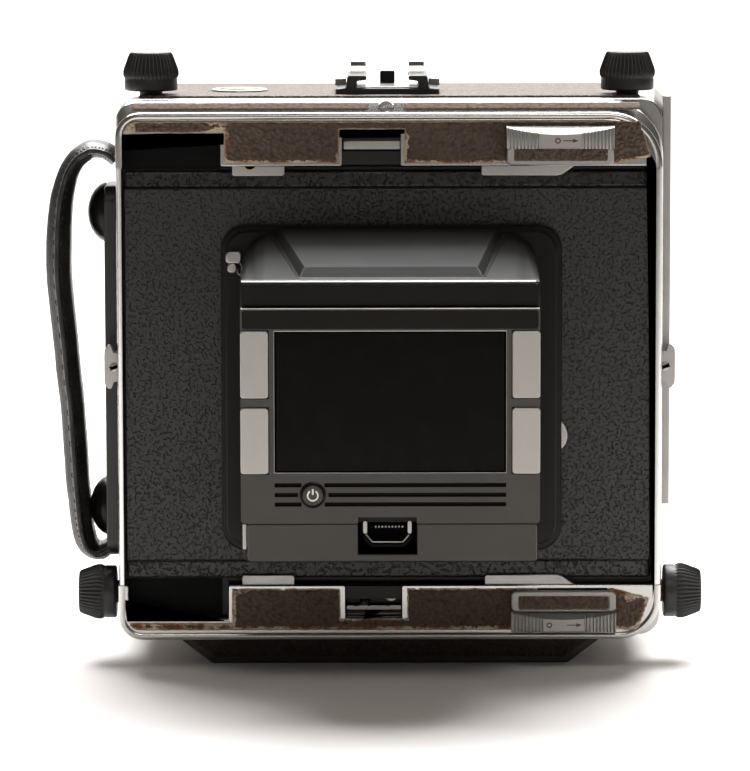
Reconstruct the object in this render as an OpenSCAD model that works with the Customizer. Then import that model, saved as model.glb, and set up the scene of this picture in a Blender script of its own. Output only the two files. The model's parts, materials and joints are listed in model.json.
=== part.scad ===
// Folding technical camera for 4x5 inch sheets, opened for use, with a digital back on an adapter board.
// Right-handed frame: +X to the right and +Z up as seen from behind, +Y forward along the lens axis.
// The origin is the mouth of the tripod bush, in the bottom face of the foot.

/* [Body] */
// Width of the body over its leather
body_w = 161; // [160:0.5:163]
// Height of the top face above the foot's bottom face
body_top = 169.3; // [168.5:0.1:170]
// Height of the foot under the body
foot_h = 10; // [9:0.5:10]
// Front face of the body, measured from the tripod axis
body_front = 32; // [30:0.5:32]
// Rear face of the body
body_rear = -30; // [-30:0.5:-29]
// Wall thickness of the cast housing
wall = 3.5; // [3:0.1:4]
// Thickness of the leather covering
leather_t = 0.8; // [0.5:0.1:1]
// Height of the lens axis
axis_z = 88; // [87:0.5:89]
// Half width of the foot at its top edge
foot_half_top = 66; // [60:1:70]
// Half width of the foot at its bottom edge
foot_half_bottom = 53; // [48:1:56]

/* [Back rods and knobs] */
// Sideways distance of the four rods from the middle
rod_x = 70.4; // [70:0.1:70.5]
// Height of the upper pair of rods
rod_high_z = 160; // [159:0.5:160]
// Height of the lower pair of rods
rod_low_z = 20.5; // [20:0.5:22]
// Radius of a rod
rod_r = 4; // [3:0.1:4]
// Place of the clamp knobs along the body
knob_y = -21; // [-21:0.5:-20]
// Largest radius of a clamp knob
knob_r = 8.25; // [7:0.05:8.5]
// Height of a clamp knob over its neck
knob_h = 11.3; // [9:0.1:12]

/* [Revolving back] */
// Half width of the revolving back
back_half_w = 80; // [79:0.5:80.2]
// Front face of the revolving back
back_front = -36.3; // [-36.5:0.1:-36.3]
// Floor of the recess for the board
back_floor = -41; // [-41:0.5:-40.5]
// Rear face of the top and bottom bars
back_rear = -46; // [-46:0.5:-45.5]
// Radius of the turning collar
collar_r = 74; // [72:0.5:74]
// Travel of a slide lock
lock_travel = 8; // [6:0.5:8]

/* [Digital back] */
// Half width of the digital back
db_half_w = 42.4; // [40:0.1:43]
// Rear face of the digital back
db_rear = -96; // [-98:0.5:-94]
// Bottom of the rear cover
db_low = 52; // [52:0.5:53]
// Top of the rear cover
db_high = 113.4; // [112:0.2:114]
// Top of the sloped roof where it meets the mount block
db_roof = 131.3; // [130:0.1:132]

/* [Bed and track] */
// Height of the bed hinge
hinge_z = 8; // [8:0.5:8.5]
// Place of the bed hinge in front of the body
hinge_y = 36; // [36:0.5:37]
// Half width of the bed
bed_half_w = 70; // [68:0.5:70]
// Front end of the bed
bed_front = 178; // [176:1:182]
// Underside of the bed
bed_low = 1.5; // [1:0.1:1.5]
// Gear module of rack and pinion
gear_m = 0.6; // [0.6:0.1:0.6]
// Teeth on a pinion
pinion_teeth = 12; // [12:1:12]
// Place of the pinion shaft
pinion_y = 160; // [158:1:162]

/* [Front standard and lens] */
// Place of the standard's turning axis
standard_y = 130; // [130:1:130]
// Half of the gap between the standard's arms
arm_gap = 46; // [46:0.5:47]
// Radius of the shutter
shutter_r = 29; // [27:0.5:30]
// Radius of the shutter's hole in the lens board
board_hole_r = 17.3; // [17.3:0.1:17.3]
// Radius of the filter thread
filter_r = 20.25; // [20.25:0.25:20.25]
// Half width of the bellows at its rear end
bellows_rear = 60; // [56:1:60]
// Half width of the bellows at its front end
bellows_front = 36; // [34:1:37]

/* [Hand strap] */
// Width of the hand strap
strap_w = 22; // [18:1:24]
// Thickness of the padded strap
strap_t = 6.4; // [4:0.2:6.6]
// Middle of the strap along the body
strap_y = -10; // [-12:1:-5]

/* [Hidden] */
$fn = 64;
over = 1;                                   // how far a cutter passes the face it cuts
body_half = body_w / 2;
metal_half = body_half - leather_t;
metal_top = body_top - leather_t;
inner_half = metal_half - wall;
inner_top = metal_top - wall;
inner_low = foot_h + wall;
bore_gap = 0.05;                            // radial running clearance of shafts
gap = 0.3;                                  // clearance between faces that slide
plate_front = body_rear - 1;                // front face of the rear frame
plate_rear = back_front + gap;              // rear face of the rear frame
tilt_edge_r = 0.7;                          // rounded lower edge that the back tilts on
tilt_y = plate_front - tilt_edge_r;
bar_high = [149.7, 163.5];                  // rear face of the top bar, low and high
bar_low = [12.2, 26.3];                     // rear face of the bottom bar
frame_low = 9.8;
tilt_z = frame_low + tilt_edge_r;
frame_high = 168.8;
button_x = -44.7;
button_y = -4.5;
shoe_x = -0.5;
board_x = [-77.6, 76.6];
mount_rear = -50.5;
rail_t = 2.5;                               // thickness of the side rail
stem_x = [44, 55.4];                        // stem of a slide lock, through the slot in its bar
stem_slot_x = [stem_x[0] - 0.4, stem_x[1] + lock_travel + 0.4];
cover_t = 3;
panel_front = db_rear + cover_t;            // front face of the rear cover
key_x = [34.5, 42.4];                       // inner and outer edge of the long keys
key_z = [[87.9, 107.1], [66.3, 85.2]];      // upper and lower keys
lcd_half = 32.8;
lcd_z = [66.6, 107];
power_at = [-22, 60.3];
notch_x = [-9.2, 7.5];                      // sides of the notch over the connector
pitch_r = gear_m * pinion_teeth / 2;
pinion_z = 7.4;
pitch = PI * gear_m;
track_low = 12.3;
track_high = 15.5;
strut_body = [24, 62];                      // strut pin on the body, Y and Z
strut_bed = [90, 9];                        // strut pivot on the bed
strut_spare = 11;                           // how far the strut slides over the body's pin
strut_x = [72, 74];
section_at = [-31, -21, -1, 27, 57, 72, 90, 112, 127];
strap_route = [[-88.2, 30.6], [-92, 35], [-93.7, 48.5], [-95.2, 71], [-97.9, 94], [-100.3, 118],
    [-98.6, 137], [-94.2, 148.5], [-88.3, 152.6]];
black = [0.07, 0.07, 0.07];
chrome = [0.78, 0.78, 0.76];
tan_leather = [0.42, 0.34, 0.28];
charcoal = [0.22, 0.21, 0.2];
alloy = [0.62, 0.61, 0.59];

// ---- shapes used by many parts ----
module box(x, y, z) {
    translate([x[0], y[0], z[0]]) cube([x[1] - x[0], y[1] - y[0], z[1] - z[0]]);
}
module rod_x_dir(x, y, z, r) { translate([x[0], y, z]) rotate([0, 90, 0]) cylinder(h = x[1] - x[0], r = r); }
module rod_y_dir(x, y, z, r) { translate([x, y[1], z]) rotate([90, 0, 0]) cylinder(h = y[1] - y[0], r = r); }
module rod_z_dir(x, y, z, r) { translate([x, y, z[0]]) cylinder(h = z[1] - z[0], r = r); }
// a flat outline in X and Z made into a plate between two places along Y
module plate(y) { translate([0, y[1], 0]) rotate([90, 0, 0]) linear_extrude(y[1] - y[0]) children(); }
// an outline in Y and Z made into a plate between two places along X
module side_plate(x) {
    translate([x[0], 0, 0]) rotate([90, 0, 90]) linear_extrude(x[1] - x[0]) children();
}
// rectangle with round corners, from low corner to high corner
module round_rect(x, z, r) {
    translate([x[0] + r, z[0]]) square([x[1] - x[0] - 2 * r, z[1] - z[0]]);
    translate([x[0], z[0] + r]) square([x[1] - x[0], z[1] - z[0] - 2 * r]);
    for (cx = [x[0] + r, x[1] - r], cz = [z[0] + r, z[1] - r]) translate([cx, cz]) circle(r);
}
module both_sides() {
    children();
    mirror([1, 0, 0]) children();
}

// ---- body ----
module body_housing() {
    color(black) difference() {
        union() {
            difference() {
                plate([body_rear, body_front])
                    round_rect([-metal_half, metal_half], [foot_h, metal_top], 5.5);
                box([-inner_half, inner_half], [body_rear - over, body_front + over],
                    [inner_low, inner_top]);
            }
            both_sides() {
                for (z = [[rod_high_z - 6, inner_top + over], [inner_low - over, rod_low_z + 6.5]])
                    box([rod_x - 6, inner_half + over], [body_rear, body_rear + 22], z);
                hinge_lug();
                rod_x_dir([strut_x[0] - 1, inner_half + over], strut_body[0], strut_body[1], 2);
            }
            rod_z_dir(button_x, button_y, [metal_top - over, body_top + 0.6], 8.4);
        }
        both_sides() {
            for (z = [rod_low_z, rod_high_z])
                rod_y_dir(rod_x, [body_rear - over, body_rear + 23], z, rod_r + bore_gap);
            rod_z_dir(rod_x, knob_y, [rod_high_z, metal_top + over], 2.5 + bore_gap);
            rod_x_dir([rod_x, metal_half + over], knob_y, rod_low_z, 2.5 + bore_gap);
            rod_x_dir([40, 68], hinge_y, hinge_z, 2.02);
        }
        rod_z_dir(button_x, button_y, [inner_top - over, body_top + 2], 6.2);
    }
}
module hinge_lug() {
    difference() {
        union() {
            box([42, 66], [body_front - 2.5, hinge_y], [hinge_z - 3.8, foot_h + 2]);
            rod_x_dir([42, 66], hinge_y, hinge_z, 3.8);
        }
        box([41, 67], [body_front - 4, body_front - 2], [0, foot_h]);
    }
}
module body_leather() {
    depth = [body_rear + 0.6, body_front - 0.6];
    color(tan_leather) {
        difference() {
            box([-metal_half + 6, metal_half - 6], depth, [metal_top, body_top]);
            rod_z_dir(button_x, button_y, [metal_top - over, body_top + over], 8.6);
            both_sides() rod_z_dir(rod_x, knob_y, [metal_top - over, body_top + over], 4.4);
            box([shoe_x - 15.3, shoe_x + 15.3], [-23.3, 0.3], [metal_top - over, body_top + over]);
        }
        difference() {
            both_sides() box([metal_half, body_half], depth, [foot_h + 8, metal_top - 6]);
            both_sides() rod_x_dir([metal_half - over, body_half + over], knob_y, rod_low_z, 4.4);
        }
        difference() {
            box([-foot_half_bottom + 3, foot_half_bottom - 3], [-26, 27], [0.3, 0.9]);
            rod_z_dir(0, 0, [0, 1], 11.2);
        }
    }
}
module tripod_base() {
    color(black) difference() {
        plate([-29, 30]) polygon([[-foot_half_top, foot_h], [-foot_half_bottom, 0], [foot_half_bottom, 0],
            [foot_half_top, foot_h]]);
        box([-foot_half_bottom + 2.8, foot_half_bottom - 2.8], [-26.2, 27.2], [-over, 0.9]);
        rod_z_dir(0, 0, [-over, 9.5], 9.02);
    }
}
module tripod_bush() {
    color(chrome) difference() {
        union() {
            rod_z_dir(0, 0, [0, 9.5], 9);
            rod_z_dir(0, 0, [0, 0.9], 11);
        }
        rod_z_dir(0, 0, [-over, 9.5 + over], 4);
    }
}
module accessory_shoe() {
    base = metal_top;
    color(black) {
        box([shoe_x - 15, shoe_x + 15], [-23, 0], [base, base + 2.6]);
        both_sides_of_shoe() {
            box([9.3, 12.2], [-23, 0], [base + 2.6, base + 6.4]);
            box([6.3, 12.2], [-23, 0], [base + 4.9, base + 6.4]);
        }
    }
}
module shoe_spring() {
    low = metal_top + 2.6;
    color(chrome) {
        box([shoe_x - 6, shoe_x + 6], [-21, -1.2], [low, low + 0.5]);
        box([shoe_x - 3, shoe_x + 3], [-3.2, -1.2], [low, low + 2]);
        both_sides_of_shoe() box([9.4, 15], [0, 0.6], [low - 1.7, low + 2.2]);
    }
}
module both_sides_of_shoe() {
    translate([shoe_x, 0, 0]) both_sides() children();
}
module release_button() {
    color(charcoal) {
        rod_z_dir(button_x, button_y, [inner_top - 2.2, body_top + 0.9], 5.9);
        rod_z_dir(button_x, button_y, [inner_top - 2.2, inner_top - gap], 7.2);
    }
}
module strap_plate() {
    color(black) {
        box([-84.6, -body_half], [strap_y - 12, strap_y + 14], [31, 142]);
        for (z = [45, 133.5]) intersection() {
            translate([-80.2, strap_y, z]) sphere(10);
            box([-92, -83.5], [strap_y - 9, strap_y + 9], [z - 9, z + 9]);
        }
    }
}
// point i of the strap's centre line, smoothed between the route's corners
function mix_at(a, b, c, d, t) = 0.5 * (2 * b + (c - a) * t + (2 * a - 5 * b + 4 * c - d) * t * t
    + (3 * b - a - 3 * c + d) * t * t * t);
function route_at(p, i, t) = mix_at(p[max(i - 1, 0)], p[i], p[i + 1], p[min(i + 2, len(p) - 1)], t);
function smooth(p, n) = concat([for (i = [0:len(p) - 2]) for (k = [0:n - 1]) route_at(p, i, k / n)],
    [p[len(p) - 1]]);
function normal_at(p, i) = let (d = p[min(i + 1, len(p) - 1)] - p[max(i - 1, 0)]) [-d[1], d[0]] / norm(d);
module hand_strap() {
    line = smooth(strap_route, 3);
    // the padded middle is thicker than the two ends
    half = [for (i = [0:len(line) - 1]) strap_t / 2 * (0.62 + 0.5 * sin(180 * i / (len(line) - 1)))];
    color(black) plate([strap_y - strap_w / 2, strap_y + strap_w / 2]) polygon(concat(
        [for (i = [0:len(line) - 1]) line[i] + normal_at(line, i) * half[i]],
        [for (i = [len(line) - 1:-1:0]) line[i] - normal_at(line, i) * half[i]]));
}
module side_rail() {
    color(alloy) difference() {
        box([body_half, body_half + rail_t], [-28, 18], [47.6, body_top - 0.3]);
        box([body_half + rail_t - 0.8, body_half + 4], [-24, 14], [52, 164]);
    }
}
module bed_pin() { color(alloy) rod_x_dir([-66, 66], hinge_y, hinge_z, 2); }

// ---- rods and clamp knobs ----
module rod_pair(z) {
    color(alloy) both_sides() rod_y_dir(rod_x, [-34.2, 28], z, rod_r);
}
module lower_rods() { rod_pair(rod_low_z); }
module upper_rods() { rod_pair(rod_high_z); }
// knob standing on its clamp screw, which points down from z = 0
module clamp_knob(screw) {
    neck = 1.2;
    color(black) difference() {
        rotate_extrude() polygon([[0, -screw], [2.5, -screw], [2.5, 0], [3.45, 0], [3.45, neck], [7.5, neck],
            [7.9, neck + 0.6], [7.9, neck + 3.3], [knob_r, neck + 4.4], [knob_r, neck + 5.6],
            [6.6, neck + knob_h - 0.4], [6.1, neck + knob_h], [4.4, neck + knob_h - 0.5],
            [0, neck + knob_h - 1.2]]);
        for (a = [0:15:345])
            rotate(a) translate([knob_r + 0.35, 0, neck + 3.6]) cylinder(h = knob_h, r = 0.7);
    }
}
module top_knob(side) {
    translate([side * rod_x, knob_y, body_top]) clamp_knob(body_top - rod_high_z - rod_r - gap);
}
module side_knob(side) {
    translate([side * body_half, knob_y, rod_low_z]) rotate([0, side * 90, 0])
        clamp_knob(body_half - rod_x - rod_r - gap);
}
module knob_top_left() { top_knob(-1); }
module knob_top_right() { top_knob(1); }
module knob_side_left() { side_knob(-1); }
module knob_side_right() { side_knob(1); }

// ---- rear frame and revolving back ----
module rear_frame() {
    color(chrome) rod_x_dir([-69.9, 69.9], tilt_y, tilt_z, tilt_edge_r - 0.05);
    color(chrome) difference() {
        plate([plate_rear, plate_front]) round_rect([-back_half_w, back_half_w], [frame_low, frame_high], 6);
        box([-70, 70], [tilt_y, plate_front + over], [frame_low - over, tilt_z]);
        rod_y_dir(0, [plate_rear - over, plate_front + over], axis_z, collar_r + gap);
        both_sides() {
            rod_y_dir(rod_x, [plate_rear + 0.5, plate_front + over], rod_low_z, rod_r + 1.2);
            plate([plate_rear + 0.5, plate_front + over])
                round_rect([rod_x - 5.2, rod_x + 5.2], [rod_high_z - 5.2, rod_high_z + 6.7], 5.1);
        }
    }
}
module strap_lugs() {
    color(chrome) both_sides() {
        box([back_half_w, back_half_w + 1.4], [-35.4, -31.6], [85.6, 93.8]);
        box([back_half_w + 1.4, back_half_w + 4.2], [-35.4, -31.6], [83.2, 96.3]);
    }
}
// outline of the revolving back, pulled in by a distance on every side
module back_outline(inset, top) {
    for (c = [[-1, 1, 6], [-1, -1, 6], [1, 1, 16], [1, -1, 13]])
        translate([c[0] * (back_half_w - inset - c[2]), c[1] > 0 ? top - c[2] : frame_low + inset + c[2]])
            circle(c[2], $fn = 32);
}
module back_shell() {
    hull() {
        plate([back_floor, back_front]) back_outline(0, frame_high - 0.2);
        plate([back_rear + 1.6, back_rear + 1.7]) back_outline(0.5, 165.4);
        plate([back_rear, back_rear + 0.1]) back_outline(1.6, bar_high[1]);
    }
}
module revolving_back() {
    color(chrome) {
        difference() {
            back_shell();
            // recess for the board, open to the right side
            box([-78.2, 77.4], [back_rear - over, back_floor], [bar_low[1], bar_high[0]]);
            // long notch at the left of each bar, square notch in the middle
            box([-78.2, -49.3], [back_rear - over, back_floor], [bar_high[0] - over, 158.4]);
            box([-77, -47.5], [back_rear - over, back_floor], [16.4, bar_low[1] + over]);
            box([-13.8, 3.2], [back_rear - over, back_floor - 0.5], [bar_high[0] - over, 159.6]);
            box([-13.2, 3.5], [back_rear - over, back_floor - 0.5], [17, bar_low[1] + over]);
            // channels of the slide locks, and the slots of their knobs
            box([-50, 66], [back_rear + 1, -43.2], [bar_high[0] - over, 154.6]);
            box([-50, 66], [back_rear + 1, -43.2], [21.6, bar_low[1] + over]);
            box(stem_slot_x, [back_rear - over, back_rear + 2], [151, 154.4]);
            box(stem_slot_x, [back_rear - over, back_rear + 2], [21.8, 25]);
            light_opening();
        }
        difference() {
            rod_y_dir(0, [back_front - 0.1, plate_front - gap], axis_z, collar_r);
            rod_y_dir(0, [back_front - over, plate_front + over], axis_z, collar_r - 3.5);
        }
        // pin and sloped catch plate in the middle notches
        rod_y_dir(-7.6, [back_rear + 1, back_floor], 20.5, 1.1);
        side_plate([-13.9, 3.3]) polygon([[back_floor, 159.8], [back_rear + 1.4, 158],
            [back_rear + 1.4, 157.4],
            [back_floor, 155.6]]);
        side_plate([-13.3, 3.6]) polygon([[back_floor, 16.8], [back_rear + 1.4, 18], [back_rear + 1.4, 18.6],
            [back_floor, 20.4]]);
    }
}
module light_opening() {
    intersection() {
        box([-63, 63], [back_rear - over, back_front + over], [axis_z - 50.5, axis_z + 50.5]);
        rod_y_dir(0, [back_rear - over, back_front + over], axis_z, collar_r - 3.5);
    }
}
module back_leather() {
    rear = back_rear - 0.5;
    color(tan_leather) {
        difference() {
            plate([rear, back_rear]) round_rect([-77.4, 77.2], [150.3, 162.9], 3.5);
            box([-80, -48.8], [rear - over, back_rear + over], [149, 159]);
            box([-14.7, 4.4], [rear - over, back_rear + over], [149, 160.6]);
            box(stem_slot_x, [rear - over, back_rear + over], [149, 154.9]);
            right_corner_cut(163, -1);
        }
        difference() {
            plate([rear, back_rear]) round_rect([-77, 77], [12.6, 25.7], 3);
            box([-80, -47], [rear - over, back_rear + over], [15.8, 27]);
            box([-14.7, 5.1], [rear - over, back_rear + over], [16.2, 27]);
            box(stem_slot_x, [rear - over, back_rear + over], [21.3, 27]);
            right_corner_cut(12.4, 1);
        }
    }
}
// triangle that takes the outer right corner off a leather inlay
module right_corner_cut(z, up) {
    plate([back_rear - 2, back_rear + 2]) polygon([[70, z], [80, z], [80, z + up * 12], [77, z + up * 9]]);
}
// sliding knob, its stem through the bar, and the claw bar behind; up is +1 on the top bar
module slide_lock(x, rib_z, inlay_z, stem_z, bar_z, claw_z, claws) {
    rear = back_rear - 4.4;
    color(chrome) {
        difference() {
            union() {
                box(x, [rear, back_rear - 0.7], rib_z);
                box([x[0] + 0.4, x[1] - 0.4], [back_rear - 2.6, back_rear - 0.7], inlay_z);
            }
            for (i = [0:8], s = [0, 1])
                translate([s == 0 ? x[0] + 0.6 + i * 1.1 : x[1] - 0.6 - i * 1.1, rear, rib_z[0] - over])
                    cylinder(h = rib_z[1] - rib_z[0] + 2 * over, r = 0.32, $fn = 16);
        }
        box(stem_x, [back_rear - 1, back_rear + 1.6], stem_z);
        box([claws[0][0], claws[1][1] - 2], [-44.9, -43.4], bar_z);
        for (c = claws) box(c, [-44.9, -43.4], claw_z);
    }
}
module top_slide_lock() {
    slide_lock([34, 65.4], [155, 161.6], [150.2, 155], [151.3, 154.1], [150, 154.2], [146.9, 150.1],
        [[-45.9, -30.6], [26.8, 54.7]]);
}
module bottom_slide_lock() {
    slide_lock([35.5, 66.4], [12.8, 19], [19, 24.8], [22.1, 24.7], [22, 26], [25.9, 29.1],
        [[-43.5, -28.2], [27.9, 55]]);
}
module adapter_board() {
    color(black) difference() {
        union() {
            box(board_x, [back_floor - 2.1, back_floor], [28, 148.2]);
            box([board_x[0], board_x[1]], [back_floor - 4.6, back_floor - 2.1], [33.4, 143.4]);
        }
        box([-26, 26], [back_floor - 5, back_floor + over], [axis_z - 22, axis_z + 22]);
    }
}
module adapter_mount() {
    color(black) difference() {
        union() {
            plate([mount_rear + 1.6, back_floor - 4.6]) round_rect([-49.2, 50.3], [37.2, 132.6], 7);
            plate([mount_rear, mount_rear + 1.6]) round_rect([-47.8, 48.6], [39, 131], 6);
            // small silver latch at the upper left
            box([-47.8, -43.6], [mount_rear - 3, mount_rear], [121.5, 128]);
        }
        box([-26, 26], [mount_rear - over, back_floor], [axis_z - 22, axis_z + 22]);
        box([39.5, 52], [mount_rear + 2.1, mount_rear + 4.2], [63, 84]);
    }
}
module release_lever() { color(alloy) rod_y_dir(46.3, [mount_rear + 2.3, mount_rear + 4], 71, 5.7); }

// ---- digital back ----
module digital_back_housing() {
    color(charcoal) difference() {
        side_plate([-db_half_w, db_half_w]) polygon([[mount_rear, 42], [mount_rear, db_roof],
            [mount_rear - 2, db_roof], [db_rear + 5.5, 122], [db_rear + 2.6, 120.4], [db_rear + 1, 114],
            [panel_front, db_high], [panel_front, db_low], [db_rear + 34, db_low], [db_rear + 34, 42]]);
        // slanted shoulders beside the raised middle of the roof
        for (s = [-1, 1]) side_shoulder(s);
        box([-22, 22], [mount_rear - 8, mount_rear + over], [axis_z - 17, axis_z + 17]);
    }
}
module side_shoulder(s) {
    hull() {
        box(s > 0 ? [33, 44] : [-44, -33], [mount_rear - 1, mount_rear], [132, 134]);
        box(s > 0 ? [40, 44] : [-44, -40], [mount_rear - 1, mount_rear], [127, 134]);
        box(s > 0 ? [33, 44] : [-44, -33], [db_rear, db_rear + 9], [123.4, 134]);
        box(s > 0 ? [41, 44] : [-44, -41], [db_rear, db_rear + 9], [120.8, 134]);
    }
}
module digital_back_cover() {
    color(charcoal) difference() {
        plate([db_rear, panel_front]) round_rect([-db_half_w, db_half_w], [db_low + 0.1, db_high], 1.2);
        box([-lcd_half, lcd_half], [db_rear - over, panel_front + over], lcd_z);
        for (z = key_z, s = [-1, 1])
            box(s > 0 ? [key_x[0] - 0.2, 44] : [-44, -key_x[0] + 0.2], [db_rear - over, panel_front - 0.4],
                [z[0] - 0.2, z[1] + 0.2]);
        rod_y_dir(power_at[0], [db_rear - over, panel_front - 0.4], power_at[1], 3.1);
        for (z = [57, 59.7, 62.5]) {
            box([-lcd_half, z == 59.7 ? -26.2 : -25.2], [db_rear - over, db_rear + 0.8], [z, z + 1.2]);
            box([z == 59.7 ? -17.6 : -18.7, lcd_half], [db_rear - over, db_rear + 0.8], [z, z + 1.2]);
        }
        box(notch_x, [db_rear - over, panel_front + over], [db_low - over, 53.9]);
    }
}
module lcd_glass() {
    color([0.03, 0.03, 0.04])
        box([0.1 - lcd_half, lcd_half - 0.1], [db_rear + 0.3, panel_front],
            [lcd_z[0] + 0.1, lcd_z[1] - 0.1]);
}
module long_key(side, row) {
    x = side > 0 ? [key_x[0], key_x[1]] : [-key_x[1], -key_x[0]];
    color(alloy) box(x, [db_rear - 0.6, panel_front - 1], key_z[row]);
}
module button_top_left() { long_key(-1, 0); }
module button_top_right() { long_key(1, 0); }
module button_bottom_left() { long_key(-1, 1); }
module button_bottom_right() { long_key(1, 1); }
module power_button() {
    color(charcoal) rod_y_dir(power_at[0], [db_rear - 0.3, panel_front - 1], power_at[1], 2.9);
}
module battery_block() {
    color(charcoal) difference() {
        plate([db_rear + 0.5, db_rear + 34]) round_rect([-40.6, 41.6], [41.1, db_low], 1);
        box(notch_x, [db_rear - over, db_rear + 12], [43.2, db_low + over]);
    }
}
module battery_clip() { color(alloy) box([-42, -40.8], [db_rear + 3, db_rear + 13], [44.2, 51.6]); }
module connector() {
    color(chrome) difference() {
        box([-7.6, 5.9], [db_rear + 3, db_rear + 12], [44.9, 51.4]);
        box([-6.4, 4.7], [db_rear, db_rear + 10], [45.9, 50.4]);
    }
}

// ---- bed, struts, track ----
module bed() {
    rail_y = [48, bed_front - 4];
    color(black) difference() {
        union() {
            difference() {
                box([-bed_half_w, bed_half_w], [hinge_y + 4.5, bed_front], [bed_low, 14]);
                box([-bed_half_w + 3.5, bed_half_w - 3.5], [hinge_y + 7, bed_front - 2.5],
                    [bed_low + 2.5, 15]);
                box([-62, 62], [hinge_y + 4, bed_front + over], [11.5, 15]);
            }
            both_sides() {
                box([50, 56], rail_y, [3, 12]);
                box([60, 63.5], rail_y, [3, 17.5]);
                box([57.6, 63.5], rail_y, [15.9, 17.5]);
                rod_x_dir([bed_half_w - over, strut_x[1] + 1], strut_bed[0], strut_bed[1], 2);
            }
            rod_x_dir([-41.5, 41.5], hinge_y, hinge_z, 3.8);
            box([-41.5, 41.5], [hinge_y, hinge_y + 5], [hinge_z - 3.8, hinge_z + 3.4]);
        }
        rod_x_dir([-43, 43], hinge_y, hinge_z, 2 + bore_gap);
        rod_x_dir([-bed_half_w - over, bed_half_w + over], pinion_y, pinion_z, 2.5 + bore_gap);
        both_sides() {
            box([18.6, 25.4], [pinion_y - 5.2, pinion_y + 5.2], [bed_low + 1.2, 13]);
            box([18, 26], [bed_front - 4, bed_front + over], [9.4, 13]);
        }
    }
}
// flat link from the bed's pivot up over the body's pin, slotted where it slides
module bed_struts() {
    rise = strut_body[1] - strut_bed[1];
    run = strut_bed[0] - strut_body[0];
    reach = norm([rise, run]);
    color(chrome) both_sides() translate([strut_x[0], strut_bed[0], strut_bed[1]])
        rotate([-atan2(rise, run), 0, 0]) difference() {
            union() {
                translate([0, -reach - strut_spare, -4.5]) cube([2, reach + strut_spare, 9]);
                for (d = [0, reach + strut_spare])
                    translate([0, -d, 0]) rotate([0, 90, 0]) cylinder(h = 2, r = 4.5);
            }
            translate([-over, 0, 0]) rotate([0, 90, 0]) cylinder(h = 4, r = 2 + bore_gap);
            translate([-over, -reach - strut_spare, -2.4]) cube([4, strut_spare + 2, 4.8]);
            for (d = [reach - 2, reach + strut_spare])
                translate([-over, -d, 0]) rotate([0, 90, 0]) cylinder(h = 4, r = 2.4);
        }
}
module rack() {
    first = round(-41 / pitch);
    last = round(13 / pitch);
    box([19, 25], [pinion_y + first * pitch, pinion_y + last * pitch],
        [pinion_z + pitch_r + 1.25 * gear_m, track_low + 0.1]);
    side_plate([19, 25]) for (k = [first:last - 1])
        translate([pinion_y + (k + 0.5) * pitch, pinion_z + pitch_r])
            polygon([[-0.62, 1.3 * gear_m], [-0.16, -gear_m], [0.16, -gear_m], [0.62, 1.3 * gear_m]]);
}
module focus_track() {
    color(chrome) {
        difference() {
            union() {
                box([-57.2, 57.2], [55, 174], [track_low, track_high]);
                box([-59.4, 59.4], [60, 170], [track_low + 0.6, track_high]);
            }
            box([-30, 30], [62, 104], [track_low - over, track_high + over]);
        }
        both_sides() rack();
    }
}
module focus_pinion() {
    color(alloy) {
        rod_x_dir([-78, 78], pinion_y, pinion_z, 2.5);
        both_sides() {
            translate([19.5, pinion_y, pinion_z]) rotate([90, 0, 90]) linear_extrude(5) pinion_outline();
            difference() {
                rod_x_dir([bed_half_w + 0.6, 78.6], pinion_y, pinion_z, 6.3);
                for (a = [0:20:340]) translate([0, pinion_y, pinion_z]) rotate([a, 0, 0])
                    rod_x_dir([72.4, 77.4], 0, 6.6, 0.6);
            }
        }
    }
}
module pinion_outline() {
    circle(pitch_r - 1.25 * gear_m);
    for (i = [0:pinion_teeth - 1]) rotate(i * 360 / pinion_teeth) translate([pitch_r, 0])
        polygon([[-1.3 * gear_m, -0.55], [gear_m, -0.16], [gear_m, 0.16], [-1.3 * gear_m, 0.55]]);
}

// ---- front standard ----
module carriage() {
    color(alloy) {
        difference() {
            plate([standard_y - 18, standard_y + 18])
                polygon([[-34, track_high], [34, track_high], [31, 20], [-31, 20]]);
            box([-12, 12], [standard_y + 12, standard_y + 19], [17.5, 21]);
        }
        rod_z_dir(0, standard_y, [19, 23.6], 6);
        both_sides() {
            rod_x_dir([32, 42], standard_y + 12, 17.9, 1.6);
            rod_x_dir([41, 44], standard_y + 12, 17.9, 2);
        }
    }
}
module swing_base() {
    color(chrome) difference() {
        union() {
            box([-50, 50], [standard_y - 11, standard_y + 11], [20.3, 24.3]);
            rod_z_dir(0, standard_y, [20.3, 24.3], 17);
            box([-50, 50], [standard_y - 4, standard_y + 4], [24, 27]);
        }
        rod_z_dir(0, standard_y, [19, 23.9], 6 + bore_gap);
    }
}
module front_standard() {
    arm = [arm_gap, arm_gap + 7];
    color(chrome) {
        difference() {
            box([-arm[1], arm[1]], [standard_y - 9, standard_y + 9], [24.6, 33.5]);
            box([-arm[1] - over, arm[1] + over], [standard_y - 4.3, standard_y + 4.3], [24, 27.3]);
        }
        both_sides() difference() {
            side_plate(arm) polygon([[standard_y - 6, 33], [standard_y + 6, 33], [standard_y + 6, 146],
                [standard_y + 3, 150], [standard_y - 3, 150], [standard_y - 6, 146]]);
            box([arm[0] - over, arm[0] + 3.2], [standard_y - 2.3, standard_y + 2.3], [34, 151]);
        }
        // rise clamp knob on each arm's outer face
        both_sides() {
            rod_x_dir([arm[1] - 0.5, arm[1] + 3], standard_y, 60, 2);
            rod_x_dir([arm[1] + 2, arm[1] + 7], standard_y, 60, 5.5);
        }
    }
}
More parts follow.
